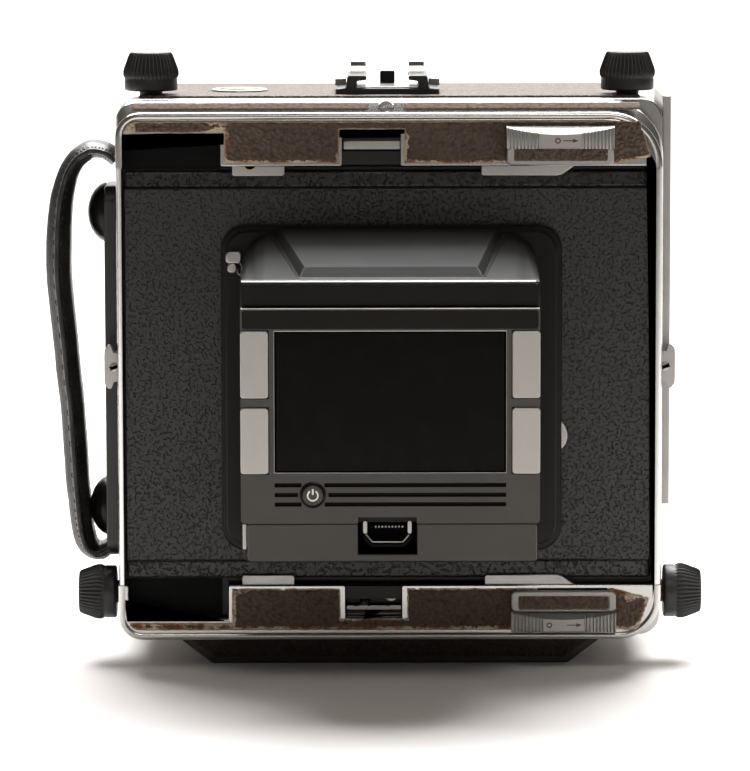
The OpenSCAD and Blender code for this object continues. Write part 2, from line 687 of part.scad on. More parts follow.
module rise_frame() {
    half = arm_gap - 0.4;
    color(black) difference() {
        union() {
            box([-half, half], [standard_y - 3.5, standard_y + 3.5], [axis_z - 46, axis_z + 46]);
            both_sides()
                box([half - 0.5, half + 2.9], [standard_y - 2, standard_y + 2], [axis_z - 44, axis_z + 44]);
        }
        box([-40, 40], [standard_y - 4, standard_y + 4], [axis_z - 40, axis_z + 40]);
        rod_x_dir([-44, 44], standard_y, axis_z, 2 + bore_gap);
    }
}
module tilt_frame() {
    color(alloy) {
        difference() {
            box([-39.6, 39.6], [standard_y - 3, standard_y + 3], [axis_z - 39, axis_z + 39]);
            box([-33, 33], [standard_y - 4, standard_y + 4], [axis_z - 33, axis_z + 33]);
        }
        both_sides() rod_x_dir([39, 43.4], standard_y, axis_z, 2);
    }
}
board_y = [standard_y + 3, standard_y + 6];
module lens_board() {
    color(black) difference() {
        plate(board_y) round_rect([-38.6, 38.6], [axis_z - 38.5, axis_z + 38.5], 3);
        rod_y_dir(0, [board_y[0] - over, board_y[1] + over], axis_z, board_hole_r);
    }
}
module shutter() {
    front = board_y[1] + 17;
    color(charcoal) difference() {
        union() {
            rod_y_dir(0, [board_y[1], front], axis_z, shutter_r);
            rod_y_dir(0, [board_y[0] - 5, board_y[1] + 1], axis_z, board_hole_r - 0.1);
            rod_y_dir(0, [board_y[0] - 3, board_y[0]], axis_z, 20);
            rod_y_dir(24.6, [front - 1, front + 2.6], axis_z + 7, 1.5);
        }
        rod_y_dir(0, [board_y[0] - 6, front + over], axis_z, 12);
        rod_y_dir(0, [board_y[0] - 6, board_y[1] + 5], axis_z, 15);
        rod_y_dir(0, [front - 5, front + over], axis_z, 19.1);
        // groove of the aperture ring
        difference() {
            rod_y_dir(0, [board_y[1] + 2.8, board_y[1] + 6.2], axis_z, shutter_r + over);
            rod_y_dir(0, [board_y[1] + 2, board_y[1] + 7], axis_z, shutter_r - 2);
        }
    }
}
module aperture_ring() {
    y = [board_y[1] + 3, board_y[1] + 6];
    color(black) {
        difference() {
            rod_y_dir(0, y, axis_z, shutter_r + 0.8);
            rod_y_dir(0, [y[0] - over, y[1] + over], axis_z, shutter_r - 2 + bore_gap);
        }
        box([-1.5, 1.5], [y[0] + 0.4, y[1] - 0.4], [axis_z - shutter_r - 5, axis_z - shutter_r + 0.5]);
    }
}
module shutter_lever() {
    y = [board_y[1] + 17.4, board_y[1] + 19];
    color(alloy) difference() {
        union() {
            rod_y_dir(24.6, y, axis_z + 7, 2.6);
            box([24, 36], y, [axis_z + 5.6, axis_z + 8.4]);
            box([34.6, 36], [y[0] - 2, y[1] + 3], [axis_z + 5.2, axis_z + 8.8]);
        }
        rod_y_dir(24.6, [y[0] - over, y[1] + over], axis_z + 7, 1.5 + bore_gap);
    }
}
module lens_barrel() {
    front = board_y[1] + 17;
    color(black) {
        difference() {
            union() {
                rod_y_dir(0, [front - 5, front + 2], axis_z, 19);
                rod_y_dir(0, [front + 0.4, front + 14], axis_z, 21.6);
            }
            rod_y_dir(0, [front - 6, front + 15], axis_z, 16.6);
            rod_y_dir(0, [front + 9.5, front + 15], axis_z, filter_r);
        }
        difference() {
            rod_y_dir(0, [board_y[0] - 16, board_y[0] - 5], axis_z, 16.8);
            rod_y_dir(0, [board_y[0] - 17, board_y[0] - 4], axis_z, 13.4);
        }
    }
}
// round glass around the lens axis that bulges forward (side 1) or backward (side -1) from its flat face
module lens_element(y, side, edge_r, thick, sag) {
    steps = 8;
    profile = [for (i = [0:steps]) let (r = edge_r * cos(i * 90 / steps))
        [r, thick + sag * (1 - pow(r / edge_r, 2))]];
    translate([0, y, axis_z]) rotate([-90 * side, 0, 0])
        rotate_extrude() polygon(concat([[0, 0], [edge_r, 0]], profile));
}
module lens_glass() {
    color([0.5, 0.6, 0.75, 0.5]) {
        lens_element(board_y[1] + 20, 1, 16.5, 2, 4);
        lens_element(board_y[0] - 9, -1, 13.3, 2, 3);
    }
}

// ---- bellows, cut where each movement bends it ----
function bellows_half(y) = bellows_rear
    + (bellows_front - bellows_rear) * (y - section_at[0]) / (section_at[8] - section_at[0]);
module bellows_section(i) {
    from = section_at[i];
    to = section_at[i + 1];
    skin = 1.5;
    color(black) translate([0, from, axis_z]) rotate([-90, 0, 0]) difference() {
        linear_extrude(to - from, scale = bellows_half(to) / bellows_half(from))
            square(2 * bellows_half(from), center = true);
        translate([0, 0, -0.01]) linear_extrude(to - from + 0.02,
            scale = (bellows_half(to) - skin) / (bellows_half(from) - skin))
            square(2 * (bellows_half(from) - skin), center = true);
    }
}
module bellows_back_tilt() { bellows_section(0); }
module bellows_extension() { bellows_section(1); }
module bellows_drop() { bellows_section(2); }
module bellows_focus() { bellows_section(3); }
module bellows_swing() { bellows_section(4); }
module bellows_shift() { bellows_section(5); }
module bellows_rise() { bellows_section(6); }
module bellows_tilt() { bellows_section(7); }

body_housing();
body_leather();
tripod_base();
tripod_bush();
accessory_shoe();
shoe_spring();
release_button();
strap_lugs();
strap_plate();
hand_strap();
side_rail();
bed_pin();
lower_rods();
upper_rods();
knob_top_left();
knob_top_right();
knob_side_left();
knob_side_right();
rear_frame();
revolving_back();
back_leather();
top_slide_lock();
bottom_slide_lock();
adapter_board();
adapter_mount();
release_lever();
digital_back_housing();
digital_back_cover();
lcd_glass();
button_top_left();
button_top_right();
button_bottom_left();
button_bottom_right();
power_button();
battery_block();
battery_clip();
connector();
bed();
bed_struts();
focus_track();
focus_pinion();
carriage();
swing_base();
front_standard();
rise_frame();
tilt_frame();
lens_board();
shutter();
lens_barrel();
lens_glass();
aperture_ring();
shutter_lever();
bellows_back_tilt();
bellows_extension();
bellows_drop();
bellows_focus();
bellows_swing();
bellows_shift();
bellows_rise();
bellows_tilt();
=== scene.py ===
import json
import math

import bmesh
import bpy
from mathutils import Matrix, Vector, noise


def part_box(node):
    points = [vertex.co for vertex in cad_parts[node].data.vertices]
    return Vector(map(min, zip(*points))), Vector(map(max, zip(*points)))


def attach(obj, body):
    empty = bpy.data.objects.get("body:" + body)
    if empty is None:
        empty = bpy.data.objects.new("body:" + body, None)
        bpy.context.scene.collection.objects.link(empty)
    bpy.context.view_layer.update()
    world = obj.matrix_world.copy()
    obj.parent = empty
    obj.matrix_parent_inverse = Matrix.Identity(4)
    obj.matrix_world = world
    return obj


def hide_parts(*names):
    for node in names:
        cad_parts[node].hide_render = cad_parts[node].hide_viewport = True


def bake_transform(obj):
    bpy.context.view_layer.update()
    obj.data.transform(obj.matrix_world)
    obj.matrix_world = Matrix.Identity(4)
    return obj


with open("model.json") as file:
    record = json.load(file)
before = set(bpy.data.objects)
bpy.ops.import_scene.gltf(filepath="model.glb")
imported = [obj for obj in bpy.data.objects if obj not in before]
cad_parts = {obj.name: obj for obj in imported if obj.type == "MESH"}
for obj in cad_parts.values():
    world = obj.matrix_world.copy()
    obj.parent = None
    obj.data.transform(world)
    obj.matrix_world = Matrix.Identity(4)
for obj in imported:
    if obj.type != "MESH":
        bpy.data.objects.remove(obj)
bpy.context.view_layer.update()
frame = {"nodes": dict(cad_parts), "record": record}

MM = 0.001


def node_mm(node):
    """Low and high corner of a CAD node, in millimetres."""
    low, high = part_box(node)
    return [c / MM for c in low], [c / MM for c in high]


# ---------------------------------------------------------------- materials
class Shade:
    """One procedural material. Every socket that stays the same all over is set directly on the shader."""

    def __init__(self, name, color, roughness, metallic=0.0, **sockets):
        self.material = bpy.data.materials.new(name)
        self.material.use_nodes = True
        self.tree = self.material.node_tree
        self.shader = self.tree.nodes["Principled BSDF"]
        self.shader.inputs["Base Color"].default_value = (*color, 1)
        self.shader.inputs["Roughness"].default_value = roughness
        self.shader.inputs["Metallic"].default_value = metallic
        for socket, value in sockets.items():
            self.shader.inputs[socket.replace("_", " ")].default_value = value
        self.place = self.tree.nodes.new("ShaderNodeTexCoord").outputs["Object"]
        self.normal = None

    def node(self, kind, inputs, **settings):
        n = self.tree.nodes.new("ShaderNode" + kind)
        for key, value in settings.items():
            setattr(n, key, value)
        for key, value in inputs.items():
            if isinstance(value, bpy.types.NodeSocket):
                self.tree.links.new(value, n.inputs[key])
            else:
                n.inputs[key].default_value = value
        return n

    def stretched(self, x, y, z):
        return self.node("Mapping", {"Vector": self.place, "Scale": (x, y, z)}).outputs["Vector"]

    def noise(self, size_mm, detail=3.0, rough=0.55, distortion=0.0, vector=None):
        """Soft noise whose blotches are about size_mm across."""
        return self.node("TexNoise", {"Vector": vector or self.place, "Scale": 1 / (size_mm * MM),
                         "Detail": detail, "Roughness": rough, "Distortion": distortion}).outputs["Fac"]

    def cells(self, size_mm, feature="F1", output="Distance", random=1.0, vector=None):
        return self.node("TexVoronoi", {"Vector": vector or self.place, "Scale": 1 / (size_mm * MM),
                         "Randomness": random}, feature=feature).outputs[output]

    def ramp(self, value, *stops):
        """Colour or grey steps along value; each stop is (place, grey or colour)."""
        n = self.tree.nodes.new("ShaderNodeValToRGB")
        self.tree.links.new(value, n.inputs["Fac"])
        while len(n.color_ramp.elements) < len(stops):
            n.color_ramp.elements.new(0.5)
        for element, (at, color) in zip(n.color_ramp.elements, stops):
            element.position = at
            element.color = (*color, 1) if hasattr(color, "__len__") else (color, color, color, 1)
        return n.outputs["Color"]

    def mix(self, amount, a, b, blend="MIX"):
        n = self.tree.nodes.new("ShaderNodeMix")
        n.data_type, n.blend_type, n.clamp_result = "RGBA", blend, True
        for index, value in ((0, amount), (6, a), (7, b)):
            if isinstance(value, bpy.types.NodeSocket):
                self.tree.links.new(value, n.inputs[index])
            elif index:
                n.inputs[index].default_value = (*value, 1)
            else:
                n.inputs[index].default_value = value
        return n.outputs[2]

    def math(self, operation, a, b=0.0, clamp=False):
        n = self.tree.nodes.new("ShaderNodeMath")
        n.operation, n.use_clamp = operation, clamp
        for index, value in ((0, a), (1, b)):
            if isinstance(value, bpy.types.NodeSocket):
                self.tree.links.new(value, n.inputs[index])
            else:
                n.inputs[index].default_value = value
        return n.outputs[0]

    def attribute(self, name):
        return self.node("Attribute", {}, attribute_name=name).outputs["Fac"]

    def color(self, socket):
        self.tree.links.new(socket, self.shader.inputs["Base Color"])

    def roughness(self, value, low, high):
        """Roughness that runs from low to high as value goes from 0 to 1."""
        n = self.node("MapRange", {"Value": value, "To Min": low, "To Max": high})
        self.tree.links.new(n.outputs["Result"], self.shader.inputs["Roughness"])

    def bump(self, height, depth_mm, strength=1.0):
        inputs = {"Height": height, "Distance": depth_mm * MM, "Strength": strength}
        if self.normal is not None:
            inputs["Normal"] = self.normal
        self.normal = self.node("Bump", inputs).outputs["Normal"]
        self.tree.links.new(self.normal, self.shader.inputs["Normal"])


def leather(name, base, light, dark, grain_mm=1.0, worn_edge=False, rough=(0.42, 0.7), depth=1.0):
    """Grained leather: creased pebbles, faint blotches, and glue and rust along cut edges."""
    s = Shade(name, base, 0.55, Specular_IOR_Level=0.4)
    warp = s.noise(3.5, 2)
    cell = s.cells(grain_mm, "SMOOTH_F1")
    fine = s.noise(0.35, 4, 0.7)
    pebble = s.math("ADD", s.math("MULTIPLY", cell, -1.0), s.math("MULTIPLY", fine, 0.35))
    shade = s.mix(s.ramp(s.noise(14, 4, 0.6), (0.35, 0.0), (0.65, 1.0)), base, light)
    crease = s.ramp(cell, (0.35, 0.0), (0.85, 1.0))
    shade = s.mix(s.math("MULTIPLY", crease, 0.8), shade, dark)
    shade = s.mix(s.ramp(s.noise(1.8, 5, 0.75), (0.62, 0.0), (0.8, 0.15)), shade, dark)
    if worn_edge:
        edge = s.attribute("edge_mm")
        wear = s.attribute("worn")
        rough_cut = s.math("MULTIPLY", s.math("SUBTRACT", s.noise(2.2, 4, 0.7), 0.42), 4.5)
        ragged = s.math("SUBTRACT", edge, s.math("MULTIPLY", rough_cut, wear))
        reach = s.math("MULTIPLY", wear, 0.7)
        band = s.ramp(s.math("SUBTRACT", ragged, reach), (-0.35, 1.0), (0.12, 0.0))
        rust = s.mix(s.ramp(s.noise(4.5, 3), (0.42, 0.0), (0.58, 1.0)), (0.52, 0.44, 0.32),
                     (0.17, 0.052, 0.010))
        shade = s.mix(band, shade, rust)
        rim = s.ramp(s.math("SUBTRACT", edge, s.math("MULTIPLY", s.noise(1.6, 4, 0.7), 0.55)), (0.0, 0.6),
                     (0.2, 0.0))
        shade = s.mix(rim, shade, (0.40, 0.33, 0.24))
    s.color(shade)
    s.roughness(s.math("ADD", s.math("MULTIPLY", crease, 0.6), s.math("MULTIPLY", warp, 0.4)), *rough)
    s.bump(s.noise(6.0, 3), 0.10, 0.5)
    s.bump(pebble, depth)
    return s.material


def wrinkle_paint(name, base, light):
    """Black crinkle enamel: a smooth skin with dark dimples a millimetre or two apart."""
    s = Shade(name, base, 0.4, Specular_IOR_Level=0.5, Coat_Weight=0.15, Coat_Roughness=0.35)
    ridge = s.ramp(s.noise(0.95, 2.0, 0.5, 0.4), (0.33, 0.0), (0.47, 1.0))
    fine = s.noise(0.4, 3, 0.6)
    tone = s.mix(s.ramp(s.noise(25, 4), (0.35, 0.0), (0.7, 1.0)), base, light)
    s.color(s.mix(s.math("MULTIPLY", ridge, 0.8), tuple(0.5 * c for c in base), tone))
    s.roughness(fine, 0.28, 0.48)
    s.bump(ridge, 0.42, 1.0)
    s.bump(fine, 0.05, 0.6)
    return s.material


def metal(name, color, rough, scratch=0.5, dirt=(0.10, 0.085, 0.07), dirt_amount=0.35, brushed=None):
    """Plated or anodised metal with fine scratches, finger dullness and a little dirt."""
    s = Shade(name, color, sum(rough) / 2, 1.0)
    blotch = s.noise(9, 5, 0.65)
    fine = s.noise(0.5, 4, 0.7)
    vector = s.stretched(*(brushed or (1, 1, 0.06)))
    line = s.noise(0.35, 2, 0.6, vector=vector)
    tint = s.mix(s.ramp(blotch, (0.4, 0.0), (0.75, dirt_amount)), color, tuple(0.72 * c for c in color))
    spots = s.ramp(s.noise(1.3, 6, 0.8), (0.66, 0.0), (0.74, dirt_amount))
    s.color(s.mix(spots, tint, dirt))
    s.roughness(s.math("ADD", s.math("MULTIPLY", blotch, 0.6), s.math("MULTIPLY", fine, 0.4)), *rough)
    s.bump(line, 0.012 * scratch, 0.6)
    s.bump(s.noise(4, 2), 0.02, 0.3)
    return s.material


def paint(name, color, rough, speckle=0.25, grain_mm=0.25, depth=0.02, coat=0.0, light=None, spec=0.45):
    """Sprayed or anodised dark finish with a fine orange-peel grain."""
    s = Shade(name, color, sum(rough) / 2, 0.0, Coat_Weight=coat, Coat_Roughness=0.2, Specular_IOR_Level=spec)
    fine = s.noise(grain_mm, 4, 0.7)
    blotch = s.noise(18, 4, 0.6)
    shade = s.mix(s.ramp(blotch, (0.3, 0.0), (0.75, 1.0)), color, light or tuple(1.35 * c for c in color))
    s.color(s.mix(s.ramp(fine, (0.55, 0.0), (0.8, speckle)), shade,
                  tuple(min(2.2 * c + 0.01, 1) for c in color)))
    s.roughness(blotch, *rough)
    s.bump(fine, depth)
    dust = s.ramp(s.cells(3.0), (0.0, 0.0), (0.03, 1.0))
    s.bump(dust, 0.01, 0.4)
    return s.material


def glass(name, tint, coat_tint):
    s = Shade(name, tint, 0.02, 0.0, IOR=1.52, Transmission_Weight=1.0, Coat_Weight=0.4, Coat_Roughness=0.02)
    s.shader.inputs["Coat Tint"].default_value = (*coat_tint, 1)
    smear = s.noise(12, 4, 0.6)
    s.roughness(smear, 0.0, 0.05)
    s.bump(s.noise(6, 2), 0.002, 0.3)
    return s.material


def display_glass(name):
    """Switched-off display under polished glass, with faint finger smears."""
    s = Shade(name, (0.003, 0.003, 0.003), 0.08, 0.0, Coat_Weight=0.0, Specular_IOR_Level=0.07)
    smear = s.noise(9, 5, 0.65, 1.2)
    s.color(s.mix(s.ramp(smear, (0.45, 0.0), (0.8, 1.0)), (0.0022, 0.0022, 0.002), (0.005, 0.005, 0.0045)))
    s.roughness(smear, 0.05, 0.2)
    s.bump(s.noise(5, 3), 0.004, 0.3)
    return s.material


def pale_floor(name):
    s = Shade(name, (0.86, 0.85, 0.84), 0.65, 0.0, Specular_IOR_Level=0.15)
    s.color(s.mix(s.noise(160, 3), (0.88, 0.855, 0.835), (0.86, 0.83, 0.805)))
    s.roughness(s.noise(90, 4), 0.55, 0.8)
    s.bump(s.noise(1.2, 4), 0.01, 0.3)
    return s.material


TAN = leather("tan_leather", (0.078, 0.050, 0.033), (0.096, 0.064, 0.043), (0.024, 0.014, 0.009), 0.95, True)
STRAP = leather("strap_leather", (0.012, 0.011, 0.011), (0.030, 0.028, 0.026), (0.004, 0.004, 0.004), 0.7,
                rough=(0.28, 0.5), depth=0.08)
PLEAT = leather("bellows_leather", (0.013, 0.013, 0.013), (0.022, 0.021, 0.020), (0.004, 0.004, 0.004), 0.6,
                rough=(0.5, 0.75), depth=0.06)
WRINKLE = wrinkle_paint("wrinkle_paint", (0.008, 0.0078, 0.0073), (0.012, 0.0117, 0.011))
ENAMEL = paint("black_enamel", (0.012, 0.012, 0.012), (0.30, 0.45), coat=0.2, depth=0.03, grain_mm=0.5)
# a darker copy of the charcoal paint for the upward roof: painted shade
ROOF = paint("roof_paint_painted_shade", (0.010, 0.0098, 0.0095), (0.36, 0.48), speckle=0.15, depth=0.01, grain_mm=0.3,
             spec=0.13)
PIT = paint("matte_black", (0.003, 0.003, 0.003), (0.6, 0.8), speckle=0.1, spec=0.1)
# a dark metal tinted brown like the leather that the release button's top mirrors: painted reflection
LEATHER_TINTED_METAL = metal("button_metal_painted_reflection", (0.20, 0.165, 0.135), (0.38, 0.5))
SMOOTH_BLACK = paint("black_anodised", (0.009, 0.0085, 0.008), (0.34, 0.48), depth=0.01, grain_mm=0.3,
                     spec=0.3)
CHARCOAL = paint("charcoal_paint", (0.040, 0.037, 0.033), (0.40, 0.52), speckle=0.2, depth=0.012,
                 grain_mm=0.3)
GLOSS_BAND = paint("dark_band", (0.0045, 0.0045, 0.004), (0.25, 0.35), speckle=0.1, depth=0.006, spec=0.18)
KNOB = paint("knob_black", (0.014, 0.0135, 0.013), (0.33, 0.5), speckle=0.2, depth=0.02, grain_mm=0.35)
CHROME = metal("worn_chrome", (0.50, 0.49, 0.475), (0.14, 0.32), scratch=0.1, dirt_amount=0.15)
THUMB = metal("thumb_silver", (0.38, 0.37, 0.355), (0.42, 0.6))
SATIN = metal("satin_silver", (0.43, 0.415, 0.395), (0.30, 0.48))
KEY = metal("key_silver", (0.43, 0.41, 0.385), (0.36, 0.46), scratch=0.3, dirt_amount=0.1,
            brushed=(0.05, 1, 1))
STEEL = metal("machined_steel", (0.36, 0.35, 0.34), (0.24, 0.42))
DARK_METAL = metal("lens_black_metal", (0.030, 0.030, 0.031), (0.28, 0.42), dirt_amount=0.1)
RED = paint("red_fill", (0.07, 0.012, 0.010), (0.4, 0.5), speckle=0.1)
# pale paint for the notch plates, standing for the light they catch: painted light
LIT_PALE = paint("pale_paint_painted_light", (0.50, 0.48, 0.45), (0.45, 0.6), speckle=0.2, depth=0.03)
WHITE = paint("white_fill", (0.72, 0.71, 0.68), (0.4, 0.5), speckle=0.05)
LENS = glass("coated_glass", (0.93, 0.96, 0.97), (0.75, 0.70, 1.0))
SCREEN = display_glass("dark_display")


# ---------------------------------------------------------------- mesh tools
def made(name, bm, material, body, smooth_deg=35):
    """Turns a bmesh in millimetres into a piece that rides on a body."""
    bmesh.ops.recalc_face_normals(bm, faces=bm.faces)
    mesh = bpy.data.meshes.new(name)
    bm.to_mesh(mesh)
    bm.free()
    mesh.transform(Matrix.Scale(MM, 4))
    return placed(name, mesh, material, body, smooth_deg)


def placed(name, mesh, material, body, smooth_deg=35):
    for polygon in mesh.polygons:
        polygon.use_smooth = True
    mesh.set_sharp_from_angle(angle=math.radians(smooth_deg))
    mesh.materials.clear()
    mesh.materials.append(material)
    obj = bpy.data.objects.new(name, mesh)
    bpy.context.scene.collection.objects.link(obj)
    if body:
        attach(obj, body)
    return obj


def bake_modifiers(obj):
    graph = bpy.context.evaluated_depsgraph_get()
    mesh = bpy.data.meshes.new_from_object(obj.evaluated_get(graph))
    obj.modifiers.clear()
    obj.data = mesh


def rounded(obj, width_mm, segments=2, smooth_deg=35):
    """Rounds the marked edges of a piece the way a cast, milled or plated part has them."""
    bevel = obj.modifiers.new("round", "BEVEL")
    bevel.width = width_mm * MM
    bevel.segments = segments
    bevel.limit_method = "WEIGHT"
    bevel.use_clamp_overlap = False
    bake_modifiers(obj)
    for polygon in obj.data.polygons:
        polygon.use_smooth = True
    obj.data.set_sharp_from_angle(angle=math.radians(smooth_deg))
    weigh = obj.modifiers.new("weigh", "WEIGHTED_NORMAL")
    weigh.keep_sharp = True
    bake_modifiers(obj)
    return obj


BODY_OF = {n: b for b, nodes in frame["record"]["behaviour"]["bodies"].items() for n in nodes}


# ---------------------------------------------------------------- shapes in millimetres
FACING = {"rear": ((1, 0, 0), (0, 0, 1), (0, -1, 0)), "front": ((-1, 0, 0), (0, 0, 1), (0, 1, 0)),
          "right": ((0, 1, 0), (0, 0, 1), (1, 0, 0)), "left": ((0, -1, 0), (0, 0, 1), (-1, 0, 0)),
          "up": ((1, 0, 0), (0, 1, 0), (0, 0, 1)), "down": ((1, 0, 0), (0, -1, 0), (0, 0, -1))}


def at(side, x, y, z, turn=0.0):
    """Frame at a point whose own Z points out of that side of the camera."""
    basis = Matrix(FACING[side]).transposed().to_4x4()
    return Matrix.Translation((x, y, z)) @ basis @ Matrix.Rotation(math.radians(turn), 4, "Z")


def circle_points(r, steps, start=0.0, stop=360.0):
    full = abs(stop - start) >= 360
    count = steps if full else steps + 1
    return [(r * math.cos(math.radians(start + (stop - start) * i / steps)),
             r * math.sin(math.radians(start + (stop - start) * i / steps))) for i in range(count)]


def round_rect(x0, x1, y0, y1, r, steps=6):
    points = []
    for cx, cy, a in ((x1 - r, y1 - r, 0), (x0 + r, y1 - r, 90), (x0 + r, y0 + r, 180),
                      (x1 - r, y0 + r, 270)):
        points += [(cx + px, cy + py) for px, py in circle_points(r, steps, a, a + 90)]
    return points


def level(outline, y):
    """An x, z outline laid at one depth."""
    return [(x, y, z) for x, z in outline]


class Form:
    """Collects solids, in millimetres, that become one piece."""

    def __init__(self):
        self.bm = bmesh.new()

    def solid(self, verts, faces, frame_at=None):
        made_verts = [self.bm.verts.new(frame_at @ Vector(v) if frame_at else v) for v in verts]
        for face in faces:
            self.bm.faces.new([made_verts[i] for i in face])
        return self

    def rings(self, rings, frame_at=None, closed=True, caps=True):
        """Skin over a row of rings with the same number of points."""
        n = len(rings[0])
        verts = [p for ring in rings for p in ring]
        faces = []
        for i in range(len(rings) - 1):
            for k in range(n if closed else n - 1):
                m = (k + 1) % n
                faces.append((i * n + k, i * n + m, (i + 1) * n + m, (i + 1) * n + k))
        if caps:
            faces.append(tuple(reversed(range(n))))
            faces.append(tuple((len(rings) - 1) * n + k for k in range(n)))
        return self.solid(verts, faces, frame_at)

    def prism(self, outline, low, high, frame_at=None):
        return self.rings([[(x, y, h) for x, y in outline] for h in (low, high)], frame_at)

    def box(self, x, y, z, frame_at=None):
        return self.prism([(x[0], y[0]), (x[1], y[0]), (x[1], y[1]), (x[0], y[1])], z[0], z[1], frame_at)

    def lathe(self, profile, steps=48, frame_at=None, ripple=None):
        """Turned solid. profile is (r, h) from bottom to top; ripple(k, i) is added to row i at step k."""
        rings = []
        for i, (r, h) in enumerate(profile):
            rings.append([((r + (ripple(k, i) if ripple else 0)) * math.cos(2 * math.pi * k / steps),
                           (r + (ripple(k, i) if ripple else 0)) * math.sin(2 * math.pi * k / steps), h)
                          for k in range(steps)])
        return self.rings(rings, frame_at)

    def slotted_screw(self, r, h, frame_at, slot=0.5):
        """Domed screw head with a sawn slot along its own X."""
        self.lathe([(r, 0), (r, 0.45 * h)], 28, frame_at)
        for s in (0, 180):
            half = [(x, y) for x, y in circle_points(r, 20, 0, 180) if y > slot]
            inner = [(x * 0.78, slot + (y - slot) * 0.78) for x, y in half]
            turn = frame_at @ Matrix.Rotation(math.radians(s), 4, "Z")
            self.rings([[(x, y, 0.42 * h) for x, y in half], [(x, y, 0.72 * h) for x, y in half],
                        [(x, y, h) for x, y in inner]], turn)
        return self

    def tube(self, points, r, steps=8, frame_at=None, taper=None):
        """Round bar along a line of points."""
        pts = [Vector(p) for p in points]
        rings = []
        side = None
        for i, p in enumerate(pts):
            d = (pts[min(i + 1, len(pts) - 1)] - pts[max(i - 1, 0)]).normalized()
            side = (side - d * side.dot(d)).normalized() if side else d.orthogonal().normalized()
            up = d.cross(side)
            rr = r * (taper[i] if taper else 1)
            rings.append([tuple(p + side * rr * math.cos(2 * math.pi * k / steps)
                                + up * rr * math.sin(2 * math.pi * k / steps)) for k in range(steps)])
        return self.rings(rings, frame_at)

    def piece(self, name, material, body, slot, smooth_deg=35, width=0.0, segments=2, replaces=()):
        bmesh.ops.recalc_face_normals(self.bm, faces=self.bm.faces)
        if width:
            weigh_edges(self.bm, width)
        obj = made(name, self.bm, material, body, smooth_deg)
        if width:
            rounded(obj, width, segments, smooth_deg)
        if replaces:
            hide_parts(*replaces)
        return obj


def hollowed(obj, *boxes):
    """Cuts box-shaped pockets, given as x, y and z ranges in millimetres, out of a piece."""
    for x, y, z in boxes:
        form = Form()
        form.box(x, y, z)
        bmesh.ops.recalc_face_normals(form.bm, faces=form.bm.faces)
        mesh = bpy.data.meshes.new("cutter")
        form.bm.to_mesh(mesh)
        form.bm.free()
        mesh.transform(Matrix.Scale(MM, 4))
        cutter = bpy.data.objects.new("cutter", mesh)
        bpy.context.scene.collection.objects.link(cutter)
        cut = obj.modifiers.new("cut", "BOOLEAN")
        cut.object, cut.operation, cut.solver = cutter, "DIFFERENCE", "EXACT"
        bake_modifiers(obj)
        bpy.data.objects.remove(cutter)
    obj.data.set_sharp_from_angle(angle=math.radians(30))
    return obj


def clear_across(edge, face):
    """Half the gap between an edge and whatever lies beside it on the same face."""
    a, b = edge.verts[0].co, edge.verts[1].co
    along = (b - a).normalized()
    room = 9.0
    for p in (a.lerp(b, 0.05), (a + b) / 2, a.lerp(b, 0.95)):
        for other in face.edges:
            if other is edge or edge.verts[0] in other.verts or edge.verts[1] in other.verts:
                continue
            c, d = other.verts[0].co, other.verts[1].co
            t = max(0.0, min(1.0, (p - c).dot(d - c) / max((d - c).length_squared, 1e-12)))
            gap = c.lerp(d, t) - p
            if gap.length < 1e-9 or abs(gap.normalized().dot(along)) < 0.75:
                room = min(room, 0.42 * gap.length)
    return room


def weigh_edges(bm, width, limit_deg=28):
    """Marks how wide each sharp edge may be rounded, so that no rounding runs past a neighbouring edge."""
    layer = bm.edges.layers.float.get("bevel_weight_edge") or bm.edges.layers.float.new("bevel_weight_edge")
    limit = math.radians(limit_deg)
    sharp = {e for e in bm.edges if len(e.link_faces) == 2 and e.calc_face_angle(0) > limit}
    for e in bm.edges:
        e[layer] = 0.0
    for e in sharp:
        room = width
        for v in e.verts:
            away = (e.other_vert(v).co - v.co).normalized()
            for other in v.link_edges:
                if other is e:
                    continue
                leave = other.other_vert(v).co - v.co
                if other in sharp and leave.length and away.dot(leave.normalized()) < -0.85:
                    continue
                slant = 1.0 if other in sharp or not leave.length else away.cross(leave.normalized()).length
                room = min(room, (0.42 if other in sharp else 0.8) * leave.length * slant)
        for face in e.link_faces:
            if len(face.edges) > 4:
                room = min(room, clear_across(e, face))
        e[layer] = max(room, 0.0) / width


def smoothstep(a, b, v):
    t = min(max((v - a) / (b - a), 0.0), 1.0)
    return t * t * (3 - 2 * t)


def inside_rect(x, z, x0, x1, z0, z1, r=0.0):
    """How far a point lies inside a rounded rectangle; negative outside."""
    px = abs(x - (x0 + x1) / 2) - (x1 - x0) / 2 + r
    pz = abs(z - (z0 + z1) / 2) - (z1 - z0) / 2 + r
    return r - math.hypot(max(px, 0), max(pz, 0)) - min(max(px, pz), 0)


